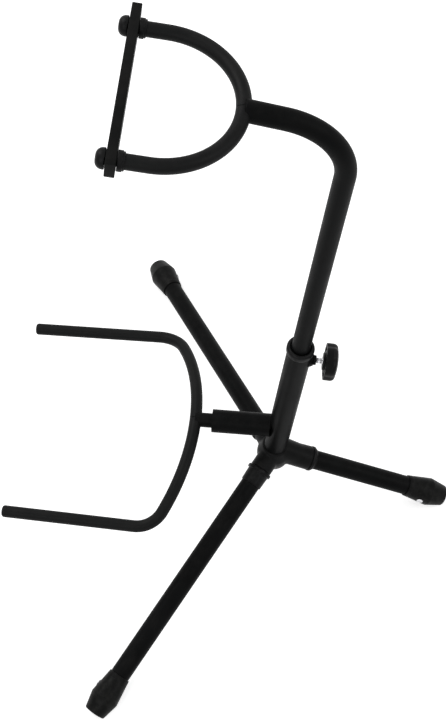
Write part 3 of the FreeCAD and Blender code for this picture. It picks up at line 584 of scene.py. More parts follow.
class Workshop:
    """Makes meshes, dresses them and fixes them to the frame."""

    def __init__(self, frame: dict) -> None:
        """Keep the frame and build the shared trees and materials."""
        self.nodes = frame["nodes"]
        self.stand = StandFrame.read(frame["joints"])
        self.recipes = Recipes()
        groups = SurfaceGroups()
        self.materials = {look: look.value.material(groups) for look in Look}

    def dress_node(self, name: str, look: Look) -> None:
        """Give a carried-over CAD node its material."""
        mesh = self.nodes[name].data
        mesh.materials.clear()
        mesh.materials.append(self.materials[look])
        LOG.info("dressed %s with %s", name, look.value.name)

    def finish_piece(
        self, name: str, mesh: bpy.types.Mesh, look: Look, body: Body, replaced: Sequence[str] = (),
        crease: float = 32.0
    ) -> bpy.types.Object:
        """Turn a mesh into a piece that rides on a body.

        Args:
            name: The piece's name.
            mesh: Its mesh, in the row frame.
            look: Its finish.
            body: The body it moves with.
            replaced: The CAD nodes it stands for.
            crease: Edges sharper than this angle stay sharp.

        Returns:
            The piece.
        """
        mesh.name = name
        mesh.materials.clear()
        mesh.materials.append(self.materials[look])
        mesh.polygons.foreach_set("material_index", [0] * len(mesh.polygons))
        mesh.shade_smooth()
        mesh.set_sharp_from_angle(angle=math.radians(crease))
        piece = put(name, mesh)
        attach(piece, body.value)
        if replaced:
            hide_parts(*replaced)
        LOG.info("made %s with %d faces", name, len(mesh.polygons))
        return piece

    @staticmethod
    def combined(mesh: bpy.types.Mesh, tool_mesh: bpy.types.Mesh, operation: str) -> bpy.types.Mesh:
        """Join one mesh with another, or cut it away.

        Args:
            mesh: The blank.
            tool_mesh: The shape that is added or cut.
            operation: "UNION" or "DIFFERENCE".

        Returns:
            The result.
        """
        blank, tool = put("blank", mesh), put("tool", tool_mesh)
        step = blank.modifiers.new("cut", "BOOLEAN")
        step.operation = operation
        step.solver = "EXACT"
        step.object = tool
        made = evaluated(blank)
        for item in (blank, tool):
            bpy.data.objects.remove(item)
        Workshop.clean(made)
        return made

    @staticmethod
    def clean(mesh: bpy.types.Mesh, least: float = 0.01 * MM) -> None:
        """Close the slivers that a cut leaves along its edges.

        Args:
            mesh: The mesh, changed in place.
            least: Corners nearer to each other than this become one.
        """
        shell = bmesh.new()
        shell.from_mesh(mesh)
        bmesh.ops.remove_doubles(shell, verts=shell.verts, dist=least)
        bmesh.ops.dissolve_degenerate(shell, edges=shell.edges, dist=least)
        bmesh.ops.triangulate(shell, faces=[face for face in shell.faces if len(face.verts) > 4])
        bmesh.ops.dissolve_degenerate(shell, edges=shell.edges, dist=least)
        bmesh.ops.delete(shell, geom=[vert for vert in shell.verts if not vert.link_faces], context="VERTS")
        shell.to_mesh(mesh)
        shell.free()

    @staticmethod
    def rounded(corners: Sequence[Corner], steps: int = 6) -> list[Corner]:
        """Round an outline's corners.

        Args:
            corners: (radius, height, rounding) in millimetres.
            steps: Points on each rounding.

        Returns:
            (radius, height, edge) points, where edge is 1 on a rounding.
        """
        points: list[Corner] = []
        for index, (across, along, rounding) in enumerate(corners):
            here = Vector((across, along))
            if rounding <= 0 or index in (0, len(corners) - 1):
                points.append((across, along, 0.0))
                continue
            before = (Vector(corners[index - 1][:2]) - here).normalized()
            after = (Vector(corners[index + 1][:2]) - here).normalized()
            half = before.angle(after) / 2
            setback = rounding / math.tan(half)
            middle = (before + after).normalized()
            centre = here + middle * (rounding / math.sin(half))
            start = here + before * setback - centre
            end = here + after * setback - centre
            for step in range(steps + 1):
                spoke = start.slerp(end, step / steps) if start.angle(end) > TINY else start.normalized()
                point = centre + spoke * rounding
                points.append((point.x, point.y, 1.0))
        return points

    def turned(
        self,
        frame: Matrix,
        corners: Sequence[Corner],
        facets: int = 96,
        shape: Optional[Callable[[float, float, float], float]] = None,
    ) -> bpy.types.Mesh:
        """Turn an outline about a frame's Z axis.

        Args:
            frame: The frame, in metres.
            corners: (radius, height, rounding) in millimetres; a radius of 0 closes an end.
            facets: Faces round the piece.
            shape: Optional change of radius: (radius, height, angle) to radius.

        Returns:
            The mesh, in the row frame, with its roundings in the attribute "rounding".
        """
        outline = self.rounded(corners)
        shell = bmesh.new()
        layer = shell.verts.layers.float.new("rounding")
        rings: list[list[bmesh.types.BMVert]] = []
        for radius, height, edge in outline:
            if radius < TINY:
                vert = shell.verts.new(Vector((0.0, 0.0, height)) * MM)
                rings.append([vert])
                continue
            ring = []
            for step in range(facets):
                angle = math.tau * step / facets
                reach = shape(radius, height, angle) if shape else radius
                vert = shell.verts.new(Vector((reach * math.cos(angle), reach * math.sin(angle),
                                               height)) * MM)
                vert[layer] = edge
                ring.append(vert)
            rings.append(ring)
        for lower, upper in zip(rings, rings[1:]):
            for step in range(facets):
                after = (step + 1) % facets
                if len(lower) == 1 and len(upper) == 1:
                    continue
                if len(lower) == 1:
                    shell.faces.new((lower[0], upper[after], upper[step]))
                elif len(upper) == 1:
                    shell.faces.new((lower[step], lower[after], upper[0]))
                else:
                    shell.faces.new((lower[step], lower[after], upper[after], upper[step]))
        if len(rings[0]) > 1 and len(rings[-1]) > 1:
            for step in range(facets):
                after = (step + 1) % facets
                shell.faces.new((rings[-1][step], rings[-1][after], rings[0][after], rings[0][step]))
        bmesh.ops.recalc_face_normals(shell, faces=shell.faces)
        mesh = bpy.data.meshes.new("turned")
        shell.to_mesh(mesh)
        shell.free()
        mesh.transform(frame)
        return mesh

    def bar(
        self,
        frame: Matrix,
        path: Sequence[Vector],
        girths: Sequence[float],
        facets: int = 48,
        closed: bool = False,
        ripple: float = 0.0,
        pitch: float = 1.6,
    ) -> bpy.types.Mesh:
        """Sweep a round bar along a path.

        Args:
            frame: The frame of the path.
            path: Its points, in millimetres.
            girths: The bar's radius at each point, in millimetres.
            facets: Faces round the bar.
            closed: Whether the path joins its own start.
            ripple: How far the radius swells and shrinks, as a share of itself.
            pitch: The ripple's length, in millimetres.

        Returns:
            The mesh, in the row frame.
        """
        count = len(path)
        edges = [(index, index + 1) for index in range(count - 1)]
        if closed:
            edges.append((count - 1, 0))
        line = bpy.data.meshes.new("path")
        line.from_pydata([point * MM for point in path], edges, [])
        girth = line.attributes.new("girth", "FLOAT", "POINT")
        girth.data.foreach_set("value", [value * MM for value in girths])
        made = self.recipes.swept.run(line, "bar", Facets=facets, Ripple=ripple, Ripple_Pitch=pitch * MM)
        made.transform(frame)
        return made

    @staticmethod
    def fused(parts: Sequence[bpy.types.Mesh], voxel: float, smoothing: int) -> bpy.types.Mesh:
        """Melt closed meshes into one skin with soft fillets.

        Args:
            parts: The meshes, all in the row frame.
            voxel: The skin's resolution, in millimetres.
            smoothing: How often the skin is smoothed.

        Returns:
            The joined mesh.
        """
        carrier = put("heap", Workshop.joined(parts))
        skin = carrier.modifiers.new("skin", "REMESH")
        skin.mode = "VOXEL"
        skin.voxel_size = voxel * MM
        skin.adaptivity = 0.0
        calm = carrier.modifiers.new("calm", "SMOOTH")
        calm.factor = 0.5
        calm.iterations = smoothing
        made = evaluated(carrier)
        bpy.data.objects.remove(carrier)
        return made

    @staticmethod
    def joined(parts: Sequence[bpy.types.Mesh]) -> bpy.types.Mesh:
        """Put several meshes in one, as separate shells."""
        heap = bmesh.new()
        for part in parts:
            heap.from_mesh(part)
        mesh = bpy.data.meshes.new("joined")
        heap.to_mesh(mesh)
        heap.free()
        return mesh


def arc(start: Vector, heading: Vector, towards: Vector, radius: float, degrees: float,
        steps: int) -> tuple[list[Vector], Vector]:
    """Follow an arc that leaves a point along a heading.

    Args:
        start: The first point.
        heading: The unit heading there.
        towards: A vector on the inner side of the bend.
        radius: The bend's radius.
        degrees: How far it turns.
        steps: How many points to return after the first.

    Returns:
        The points after the start, and the heading at the end.
    """
    inner = (towards - heading * towards.dot(heading)).normalized()
    centre = start + inner * radius
    points = []
    for step in range(1, steps + 1):
        angle = math.radians(degrees * step / steps)
        points.append(centre - inner * (radius * math.cos(angle)) + heading * (radius * math.sin(angle)))
    end = math.radians(degrees)
    return points, heading * math.cos(end) + inner * math.sin(end)


def line_on(start: Vector, heading: Vector, length: float, steps: int) -> list[Vector]:
    """Give points on a straight run after its start."""
    return [start + heading * (length * step / steps) for step in range(1, steps + 1)]


def blunt_end(path: list[Vector], girth: float, rounding: float,
              steps: int = 6) -> tuple[list[Vector], list[float]]:
    """Close a bar's last end with a flat face and a rounded edge.

    Args:
        path: The bar's points, ending at its tip.
        girth: The bar's radius.
        rounding: The radius of the rounded edge.
        steps: Points on the rounding.

    Returns:
        The new points and their radii.
    """
    tip = path[-1]
    heading = (path[-1] - path[-2]).normalized()
    kept = [point for point in path if (tip - point).dot(heading) > rounding
            or (tip - point).length > 4 * girth]
    points = kept + [tip - heading * rounding]
    radii = [girth] * len(points)
    for step in range(1, steps + 1):
        angle = math.pi / 2 * step / steps
        points.append(tip - heading * rounding * (1 - math.sin(angle)))
        radii.append(girth - rounding * (1 - math.cos(angle)))
    points.append(tip + heading * 0.02)
    radii.append((girth - rounding) * 0.5)
    return points, radii


# ---------------------------------------------------------------- sub-assemblies


@dataclass
class HubAndColumn:
    """The cast hub, the column in it and the bush in the column's mouth. Sizes in millimetres."""

    shop: Workshop
    barrel: float = 17.0
    barrel_top: float = 11.0
    mouth: float = 14.4
    gusset_rise: float = 5.5
    barrel_foot: float = 20.0
    arm: float = 12.4
    front_arm: float = 29.0
    rear_arm: float = 43.0
    rear_arm_root: float = 13.0
    rear_arm_end: float = 13.7
    web_top: float = -2.5
    web_bottom: float = 13.0
    web_length: float = 18.0
    web_half: float = 11.5
    web_round: float = 17.0
    column_top: float = 219.0
    column_seat: float = 11.0
    bolt_hole: float = 4.3
    leg_start: float = 18.6

    def build(self) -> None:
        """Make the casting, dress the column and its hidden fixings, and turn the bush."""
        self._casting()
        self.shop.dress_node("column_tube", Look.COAT)
        for node in ("column_plug", "hub_bolt", "hub_washer"):
            self.shop.dress_node(node, Look.ZINC)
        top = self.column_top
        mesh = self.shop.turned(self.shop.stand.matrix, [
            (9.6, top - 38.0, 0.0), (11.1, top - 38.0, 0.4), (11.1, top + 0.2, 0.0), (14.0, top + 0.2, 0.7),
            (14.15, top + 4.0, 0.0), (14.1, top + 8.5, 3.2), (10.9, top + 8.5, 0.9), (9.6, top + 6.1, 0.4),
        ])
        self.shop.finish_piece("column_bush_moulded", mesh, Look.PLASTIC, Body.STAND, ["column_bush"])

    def _casting(self) -> None:
        """Melt the barrel, the arms and the web plate into one casting."""
        shop, stand = self.shop, self.shop.stand
        barrel = shop.turned(stand.matrix, [
            (0.0, -self.barrel_foot, 0.0), (self.barrel, -self.barrel_foot, 1.5),
            (self.barrel + 2.2, -9.0, 4.0),
            (self.barrel + 2.0, -2.0, 5.0), (self.mouth, self.barrel_top, 1.6),
            (0.0, self.barrel_top, 0.0)])
        parts = [barrel, self._web()]
        front, rear = (self.front_arm, self.arm, self.arm), (self.rear_arm, self.rear_arm_root,
                                                             self.rear_arm_end)
        for word, angle in LEG_TURNS.items():
            reach, root, end = rear if word == "rear" else front
            parts.append(shop.turned(stand.leg(angle), [
                (0.0, 0.0, 0.0), (root, 0.0, 0.0), (end, reach, 0.0), (0.0, reach, 0.0)]))
        gusset = stand.matrix @ move(z=self.gusset_rise) @ turn_about(UP,
                                                                      180.0) @ turn_about(SIDE, 90.0 + 26.0)
        parts.append(shop.turned(gusset, [
            (0.0, 6.0, 0.0), (self.rear_arm_root + 0.4, 6.0, 0.0),
            (self.rear_arm_end - 1.2, self.rear_arm - 4.0, 0.0),
            (0.0, self.rear_arm - 4.0, 0.0)]))
        mesh = shop.combined(shop.fused(parts, 0.75, 16), self._bores(), "DIFFERENCE")
        shop.finish_piece("hub_casting_skin", mesh, Look.CASTING, Body.STAND, ["hub_casting"], crease=60.0)

    def _bores(self) -> bpy.types.Mesh:
        """Give what is cut from the casting: the stepped hole of column and bolt, and the legs' holes."""
        shop, stand = self.shop, self.shop.stand
        below, above, beyond = -self.barrel_foot - 10.0, self.barrel_top + 10.0, self.rear_arm + 10.0
        column, leg = COLUMN_RADIUS + FIT, LEG_RADIUS + FIT
        tools = [shop.turned(stand.matrix, [
            (0.0, below, 0.0), (self.bolt_hole, below, 0.0), (self.bolt_hole, -self.column_seat, 0.0),
            (column, -self.column_seat, 0.0), (column, above, 0.0), (0.0, above, 0.0)])]
        for angle in LEG_TURNS.values():
            tools.append(shop.turned(stand.leg(angle), [
                (0.0, self.leg_start, 0.0), (leg, self.leg_start, 0.0), (leg, beyond, 0.0),
                (0.0, beyond, 0.0)]))
        return shop.joined(tools)

    def _web(self) -> bpy.types.Mesh:
        """Give the plate between the arms, with its concave edges."""
        outline: list[Vector] = []
        right, left, rear = LEG_TURNS["right"], LEG_TURNS["left"] + 360.0, LEG_TURNS["rear"]
        for first, second in ((right, rear), (rear, left), (left, right + 360.0)):
            half = math.radians((second - first) / 2)
            middle = math.radians((first + second) / 2)
            away = (self.web_half + self.web_round) / math.sin(half)
            centre = Vector((math.sin(middle), -math.cos(middle))) * away
            span = math.pi / 2 - half
            outline.append(self._arm_corner(first, 1.0))
            for step in range(13):
                angle = -span + 2 * span * step / 12
                inward = Vector((-math.sin(middle - angle), math.cos(middle - angle)))
                outline.append(centre + inward * self.web_round)
            outline.append(self._arm_corner(second, -1.0))
        plate = bmesh.new()
        low = [plate.verts.new(Vector((p.x, p.y, -self.web_bottom)) * MM) for p in outline]
        high = [plate.verts.new(Vector((p.x, p.y, self.web_top)) * MM) for p in outline]
        plate.faces.new(low)
        plate.faces.new(high)
        for index in range(len(outline)):
            after = (index + 1) % len(outline)
            plate.faces.new((low[index], low[after], high[after], high[index]))
        bmesh.ops.recalc_face_normals(plate, faces=plate.faces)
        mesh = bpy.data.meshes.new("web")
        plate.to_mesh(mesh)
        plate.free()
        mesh.transform(self.shop.stand.matrix)
        return mesh

    def _arm_corner(self, degrees: float, way: float) -> Vector:
        """Give a corner of the web plate at the end of an arm, on one side of it."""
        angle = math.radians(degrees)
        along = Vector((math.sin(angle), -math.cos(angle))) * self.web_length
        across = Vector((math.cos(angle), math.sin(angle))) * self.web_half * way
        return along + across


@dataclass
class Leg:
    """One leg: the tube, the collar at its root and the foot on its end. Sizes in millimetres."""

    shop: Workshop
    word: str
    arm_reach: float
    sleeve: float
    foot_start: float
    ring_near: float = 0.9
    ring_far: float = 0.9
    ring: float = 14.1
    ring_width: float = 4.0
    lip: float = 12.0
    shoulder: float = 15.95
    shoulder_place: float = 29.0
    length: float = 48.7
    bore_depth: float = 38.0

    @property
    def frame(self) -> Matrix:
        """Give the leg's frame: Z outwards along the leg and Y up."""
        return self.shop.stand.leg(LEG_TURNS[self.word])

    def build(self) -> None:
        """Dress the tube, turn the collar and mould the foot."""
        self.shop.dress_node(f"leg_tube_{self.word}", Look.COAT)
        self._collar()
        self._foot()

    def _collar(self) -> None:
        """Turn the ringed collar."""
        frame = self.frame @ move(z=self.arm_reach + FIT)
        end = self.ring_width + self.sleeve
        inner = LEG_RADIUS + FIT
        mesh = self.shop.turned(frame, [
            (inner, 0.0, 0.0), (self.ring, 0.0, self.ring_near),
            (self.ring, self.ring_width, self.ring_far),
            (12.35, self.ring_width, 0.5), (11.95, end, 0.6), (inner, end, 0.0)])
        self.shop.finish_piece(f"leg_collar_{self.word}_turned", mesh, Look.PLASTIC, Body.STAND,
                               [f"leg_collar_{self.word}"])

    def _foot(self) -> None:
        """Mould the flared boot, with a band at its lip and its sole flattened on the floor."""
        frame = self.frame @ move(z=self.foot_start)
        inner = LEG_RADIUS + FIT
        mesh = self.shop.turned(frame, [
            (0.0, self.bore_depth, 0.0), (inner, self.bore_depth, 0.0), (inner, 0.0, 0.0),
            (self.lip, 0.0, 0.5),
            (12.65, 4.5, 0.4), (12.52, 5.0, 0.4), (12.72, 5.7, 0.5),
            (self.shoulder, self.shoulder_place, 2.2),
            (11.7, 47.9, 1.8), (7.6, self.length, 1.5), (0.0, self.length, 0.0)], facets=128)
        for vert in mesh.vertices:
            vert.co.z = max(vert.co.z, 0.0)
        self.shop.finish_piece(f"rubber_foot_{self.word}_moulded", mesh, Look.RUBBER, Body.STAND,
                               [f"rubber_foot_{self.word}"], crease=40.0)


@dataclass
class Rivets:
    """The rivets that pin the feet, one on each leg. Sizes in millimetres."""

    shop: Workshop
    legs: Sequence[Leg]
    head: float = 3.6
    place: float = 19.0

    def build(self) -> None:
        """Turn one domed rivet for each foot and join them."""
        flare = Leg.shoulder - Leg.lip
        slope = math.degrees(math.atan(flare / Leg.shoulder_place))
        depth = Leg.lip + self.place / Leg.shoulder_place * flare
        parts = []
        for leg in self.legs:
            frame = (leg.frame @ move(z=leg.foot_start + self.place) @ turn_about(UP, 90.0)
                     @ turn_about(SIDE, -90.0) @ move(z=depth) @ turn_about(SIDE, -slope))
            parts.append(self.shop.turned(frame, [
                (0.0, -4.0, 0.0), (2.0, -4.0, 0.0), (2.0, 0.05, 0.0), (self.head, 0.05, 0.2),
                (self.head, 0.55, 0.4),
                (2.2, 1.15, 0.8), (1.3, 1.15, 0.2), (1.1, 0.7, 0.2), (0.0, 0.7, 0.0)], facets=48))
        self.shop.finish_piece("foot_rivets_domed", self.shop.joined(parts), Look.ZINC, Body.STAND,
                               ["foot_rivets"])


@dataclass
class Clamp:
    """The welded nut, the screw and the lobed knob. Sizes in millimetres."""

    shop: Workshop
    lobes: int = 6
    knob: float = 18.9
    bite: float = 1.2
    bite_width: float = 12.0
    knob_start: float = 24.7

    def build(self) -> None:
        """Make the boss, the screw with its thread, and the knob with its ribs."""
        self._boss()
        self._screw()
        self._knob()

    def _boss(self) -> None:
        """Melt the nut and its weld into one boss on the column."""
        frame = self.shop.stand.clamp()
        hexagon = self.shop.turned(frame, [
            (0.0, 11.0, 0.0), (5.7, 11.0, 0.0), (5.7, 18.1, 0.5), (0.0, 18.1, 0.0)], facets=6)
        weld = self.shop.turned(frame, [
            (0.0, 10.6, 0.0), (8.4, 10.6, 0.0), (7.4, 12.6, 0.0), (5.9, 15.4, 0.0), (0.0, 15.4, 0.0)],
            facets=48)
        mesh = self.shop.fused([hexagon, weld], 0.4, 6)
        self.shop.finish_piece("clamp_nut_welded", mesh, Look.CASTING, Body.STAND, ["clamp_nut"],
                               crease=60.0)

    def _screw(self) -> None:
        """Turn the screw and wind its thread."""
        frame = self.shop.stand.clamp()
        core = self.shop.turned(frame, [
            (0.0, 9.9, 0.0), (2.0, 9.9, 0.3), (2.62, 11.0, 0.0), (2.62, 36.6, 0.0), (0.0, 36.6, 0.0)],
            facets=48)
        seed = bpy.data.meshes.new("seed")
        seed.from_pydata([(0.0, 0.0, 0.0)], [], [])
        thread = self.shop.recipes.thread.run(seed, "thread", Turns=24.0, Root_Radius=2.6 * MM,
                                              Length=24.0 * MM,
                                              Ridge=0.42 * MM)
        thread.transform(frame @ move(z=11.4))
        self.shop.finish_piece("clamp_screw_threaded", self.shop.joined([core, thread]), Look.ZINC,
                               Body.CLAMP,
                               ["clamp_screw"])

    def _lobed(self, radius: float, height: float, angle: float) -> float:
        """Give the knob's radius where a finger hollow bites into its rim."""
        pitch = math.tau / self.lobes
        off = math.degrees((angle + pitch / 2) % pitch - pitch / 2)
        depth = self.bite * math.exp(-((off / self.bite_width) ** 2))
        return radius - depth * (radius / self.knob) ** 3

    def _knob(self) -> None:
        """Mould the lobed knob, and ring its inner face with ribs."""
        frame = self.shop.stand.clamp() @ move(z=self.knob_start)
        rim = self.knob
        knob = self.shop.turned(frame, [
            (3.05, 0.0, 0.0), (9.0, 0.0, 0.5), (9.0, 2.0, 0.6), (11.5, 2.3, 0.4), (11.9, 4.2, 0.4),
            (15.6, 4.2, 0.4),
            (16.0, 2.1, 0.4), (rim, 2.05, 0.7), (rim, 6.5, 0.0), (rim, 13.0, 4.5), (9.0, 15.0, 3.0),
            (7.2, 14.3, 0.8),
            (0.0, 14.3, 0.0), (0.0, 12.1, 0.0), (3.05, 12.1, 0.0)], facets=180, shape=self._lobed)
        rib = self.shop.turned(turn_about(Vector((0.0, 1.0, 0.0)), 90.0), [
            (0.0, -2.2, 0.0), (0.4, -2.2, 0.2), (0.4, 2.2, 0.2), (0.0, 2.2, 0.0)], facets=12)
        ribs = self.shop.recipes.ring.run(rib, "ribs", Count=24, Ring_Radius=13.8 * MM)
        ribs.transform(frame @ move(z=4.1))
        self.shop.finish_piece("clamp_knob_moulded", self.shop.joined([knob, ribs]), Look.PLASTIC,
                               Body.CLAMP,
                               ["clamp_knob"])


@dataclass
class Gooseneck:
    """The bent tube and the upper yoke that it carries. Sizes in millimetres."""

    shop: Workshop
    tube: float = 9.525
    foot: float = 95.0
    bend_start: float = 505.5
    bend: float = 65.0
    bend_angle: float = 83.0
    nose: float = 33.9
    yoke: float = 67.0
    tilt: float = 2.0
    seam: float = 0.2
    straight: float = 18.0
    rod: float = 5.0
    cover: float = 6.5

    @property
    def yoke_frame(self) -> Matrix:
        """Give the yoke's frame: its origin at the gooseneck, -Y towards the tips."""
        angle = math.radians(self.bend_angle)
        ahead = self.bend * (1 - math.cos(angle)) + self.nose * math.sin(angle)
        above = self.bend_start + self.bend * math.sin(angle) + self.nose * math.cos(angle)
        return self.shop.stand.matrix @ move(y=-ahead, z=above) @ turn_about(SIDE, -self.tilt)

    def build(self) -> None:
        """Sweep the tube and dress the yoke."""
        self._tube()
        self.shop.dress_node("yoke_rod", Look.COAT)
        self.shop.dress_node("gooseneck_glide", Look.PLASTIC)
        for side in Side:
            self._cover(side)
            self._tip(side)

    def _tube(self) -> None:
        """Sweep the tube up to the yoke's centre line, inside the cover."""
        start = Vector((0.0, 0.0, self.foot))
        bend_start = Vector((0.0, 0.0, self.bend_start))
        path = [start] + line_on(start, UP, self.bend_start - self.foot, 24)
        points, heading = arc(bend_start, UP, FORWARD, self.bend, self.bend_angle, 40)
        path += points
        path += line_on(points[-1], heading, self.nose, 8)
        path, girths = blunt_end(path, self.tube, 1.4)
        tube = self.shop.bar(self.shop.stand.matrix, path, girths, facets=72)
        self.shop.finish_piece("gooseneck_tube_bent", tube, Look.COAT, Body.GOOSENECK, ["gooseneck_tube"])

    def _cover(self, side: Side) -> None:
        """Sweep one half of the yoke's soft cover."""
        skipped = math.degrees(self.seam / self.yoke)
        start, heading = arc(Vector(), SIDE * side.value, FORWARD, self.yoke, skipped, 1)
        points, ahead = arc(start[0], heading, FORWARD, self.yoke, 90.0 - skipped, 48)
        path = [start[0]] + points + line_on(points[-1], ahead, self.straight, 6)
        flipped, girths = blunt_end(list(reversed(path)), self.cover, 0.25, steps=3)
        path = list(reversed(flipped))
        mesh = self.shop.bar(self.yoke_frame, path, list(reversed(girths)), facets=48)
        name = f"yoke_cover_{side.word}"
        self.shop.finish_piece(f"{name}_sleeve", mesh, Look.COVER, Body.GOOSENECK, [name])

    def _tip(self, side: Side) -> None:
        """Turn the stepped collar and the round cap on one tip."""
        ahead = (self.yoke_frame @ move(side.value * self.yoke, -self.yoke - self.straight)
                 @ turn_about(SIDE, 90.0))
        inner = self.rod + FIT
        collar = self.shop.turned(ahead, [
            (inner, 0.0, 0.0), (7.7, 0.0, 0.5), (7.7, 1.7, 0.2), (8.5, 1.7, 0.5), (8.5, 5.8, 0.6),
            (inner, 5.8, 0.0)])
        self.shop.finish_piece(f"yoke_collar_{side.word}_turned", collar, Look.PLASTIC, Body.GOOSENECK,
                               [f"yoke_collar_{side.word}"])
        cap = self.shop.turned(ahead @ move(z=15.2), [
            (0.0, 5.0, 0.0), (inner, 5.0, 0.0), (inner, 0.0, 0.0), (8.6, 0.0, 0.8), (8.6, 7.8, 6.0),
            (0.0, 7.8, 0.0)])
        self.shop.finish_piece(f"yoke_cap_{side.word}_domed", cap, Look.PLASTIC, Body.GOOSENECK,
                               [f"yoke_cap_{side.word}"], crease=45.0)


@dataclass
class Strap:
    """The rubber strap across the yoke's tips. Sizes in millimetres."""

    shop: Workshop
    neck: Gooseneck
    boss_thick: float = 8.8
    relief: float = 0.2
    half: float = 8.5
    boss: float = 8.3
    eye_end: float = 19.0
    hook_end: float = 11.0
    back: float = 91.1
    bore: float = 5.08
    mouth: float = 5.3

    @staticmethod
    def _slab(outline: Sequence[Vector], low: float, high: float, rounding: float = 0.0) -> bpy.types.Mesh:
        """Give a flat outline a thickness, and round its edges if asked.

        Args:
            outline: The corners in the strap's plane, in millimetres.
            low: The lower face.
            high: The upper face.
            rounding: The size of the rounding, or 0 for sharp edges.

        Returns:
            The mesh, in the strap's own frame.
        """
        shape = bmesh.new()
        corners = [shape.verts.new((point.x * MM, point.y * MM, low * MM)) for point in outline]
        made = bmesh.ops.extrude_face_region(shape, geom=[shape.faces.new(corners)])
        lifted = [item for item in made["geom"] if isinstance(item, bmesh.types.BMVert)]
        bmesh.ops.translate(shape, verts=lifted, vec=(0.0, 0.0, (high - low) * MM))
        bmesh.ops.recalc_face_normals(shape, faces=shape.faces)
        if rounding:
            bmesh.ops.bevel(shape, geom=shape.edges[:], offset=rounding * MM, segments=3, affect="EDGES",
                            profile=0.6)
        mesh = bpy.data.meshes.new("slab")
        shape.to_mesh(mesh)
        shape.free()
        return mesh

    def _hook_mouth(self) -> list[Vector]:
        """Give the outline of the hook's opening: a half round that runs out below."""
        pin, below = self.neck.yoke, -3 * self.half
        turns = [math.pi - math.pi * step / 24 for step in range(25)]
        rounding = [Vector((pin + self.mouth * math.cos(turn),
                            self.mouth * math.sin(turn))) for turn in turns]
        return [Vector((pin - self.mouth, below)), *rounding, Vector((pin + self.mouth, below))]

    def build(self) -> None:
        """Mould the bar with a round boss at each pin, then open the eye and the hook."""
        pin = self.neck.yoke
        left, right = -pin - self.eye_end, pin + self.hook_end
        corners = [(left, -self.half), (right, -self.half), (right, self.half), (left, self.half)]
        mesh = self._slab([Vector(corner) for corner in corners], self.relief,
                          self.boss_thick - self.relief, 0.9)
        for place in (-pin, pin):
            boss = self.shop.turned(move(place), [
                (0.0, 0.0, 0.0), (self.boss, 0.0, 0.5), (self.boss, self.boss_thick, 0.5),
                (0.0, self.boss_thick, 0.0)],
                facets=72)
            mesh = self.shop.combined(mesh, boss, "UNION")
        eye = self.shop.turned(move(-pin, 0.0, -5.0), [
            (0.0, 0.0, 0.0), (self.bore, 0.0, 0.0), (self.bore, 20.0, 0.0), (0.0, 20.0, 0.0)], facets=64)
        mesh = self.shop.combined(mesh, eye, "DIFFERENCE")
        mesh = self.shop.combined(mesh, self._slab(self._hook_mouth(), -5.0, 15.0), "DIFFERENCE")
        mesh.transform(self.neck.yoke_frame @ move(y=-self.back) @ turn_about(SIDE, 90.0))
        self.shop.finish_piece("retaining_strap_moulded", mesh, Look.RUBBER, Body.STRAP,
                               ["retaining_strap"])


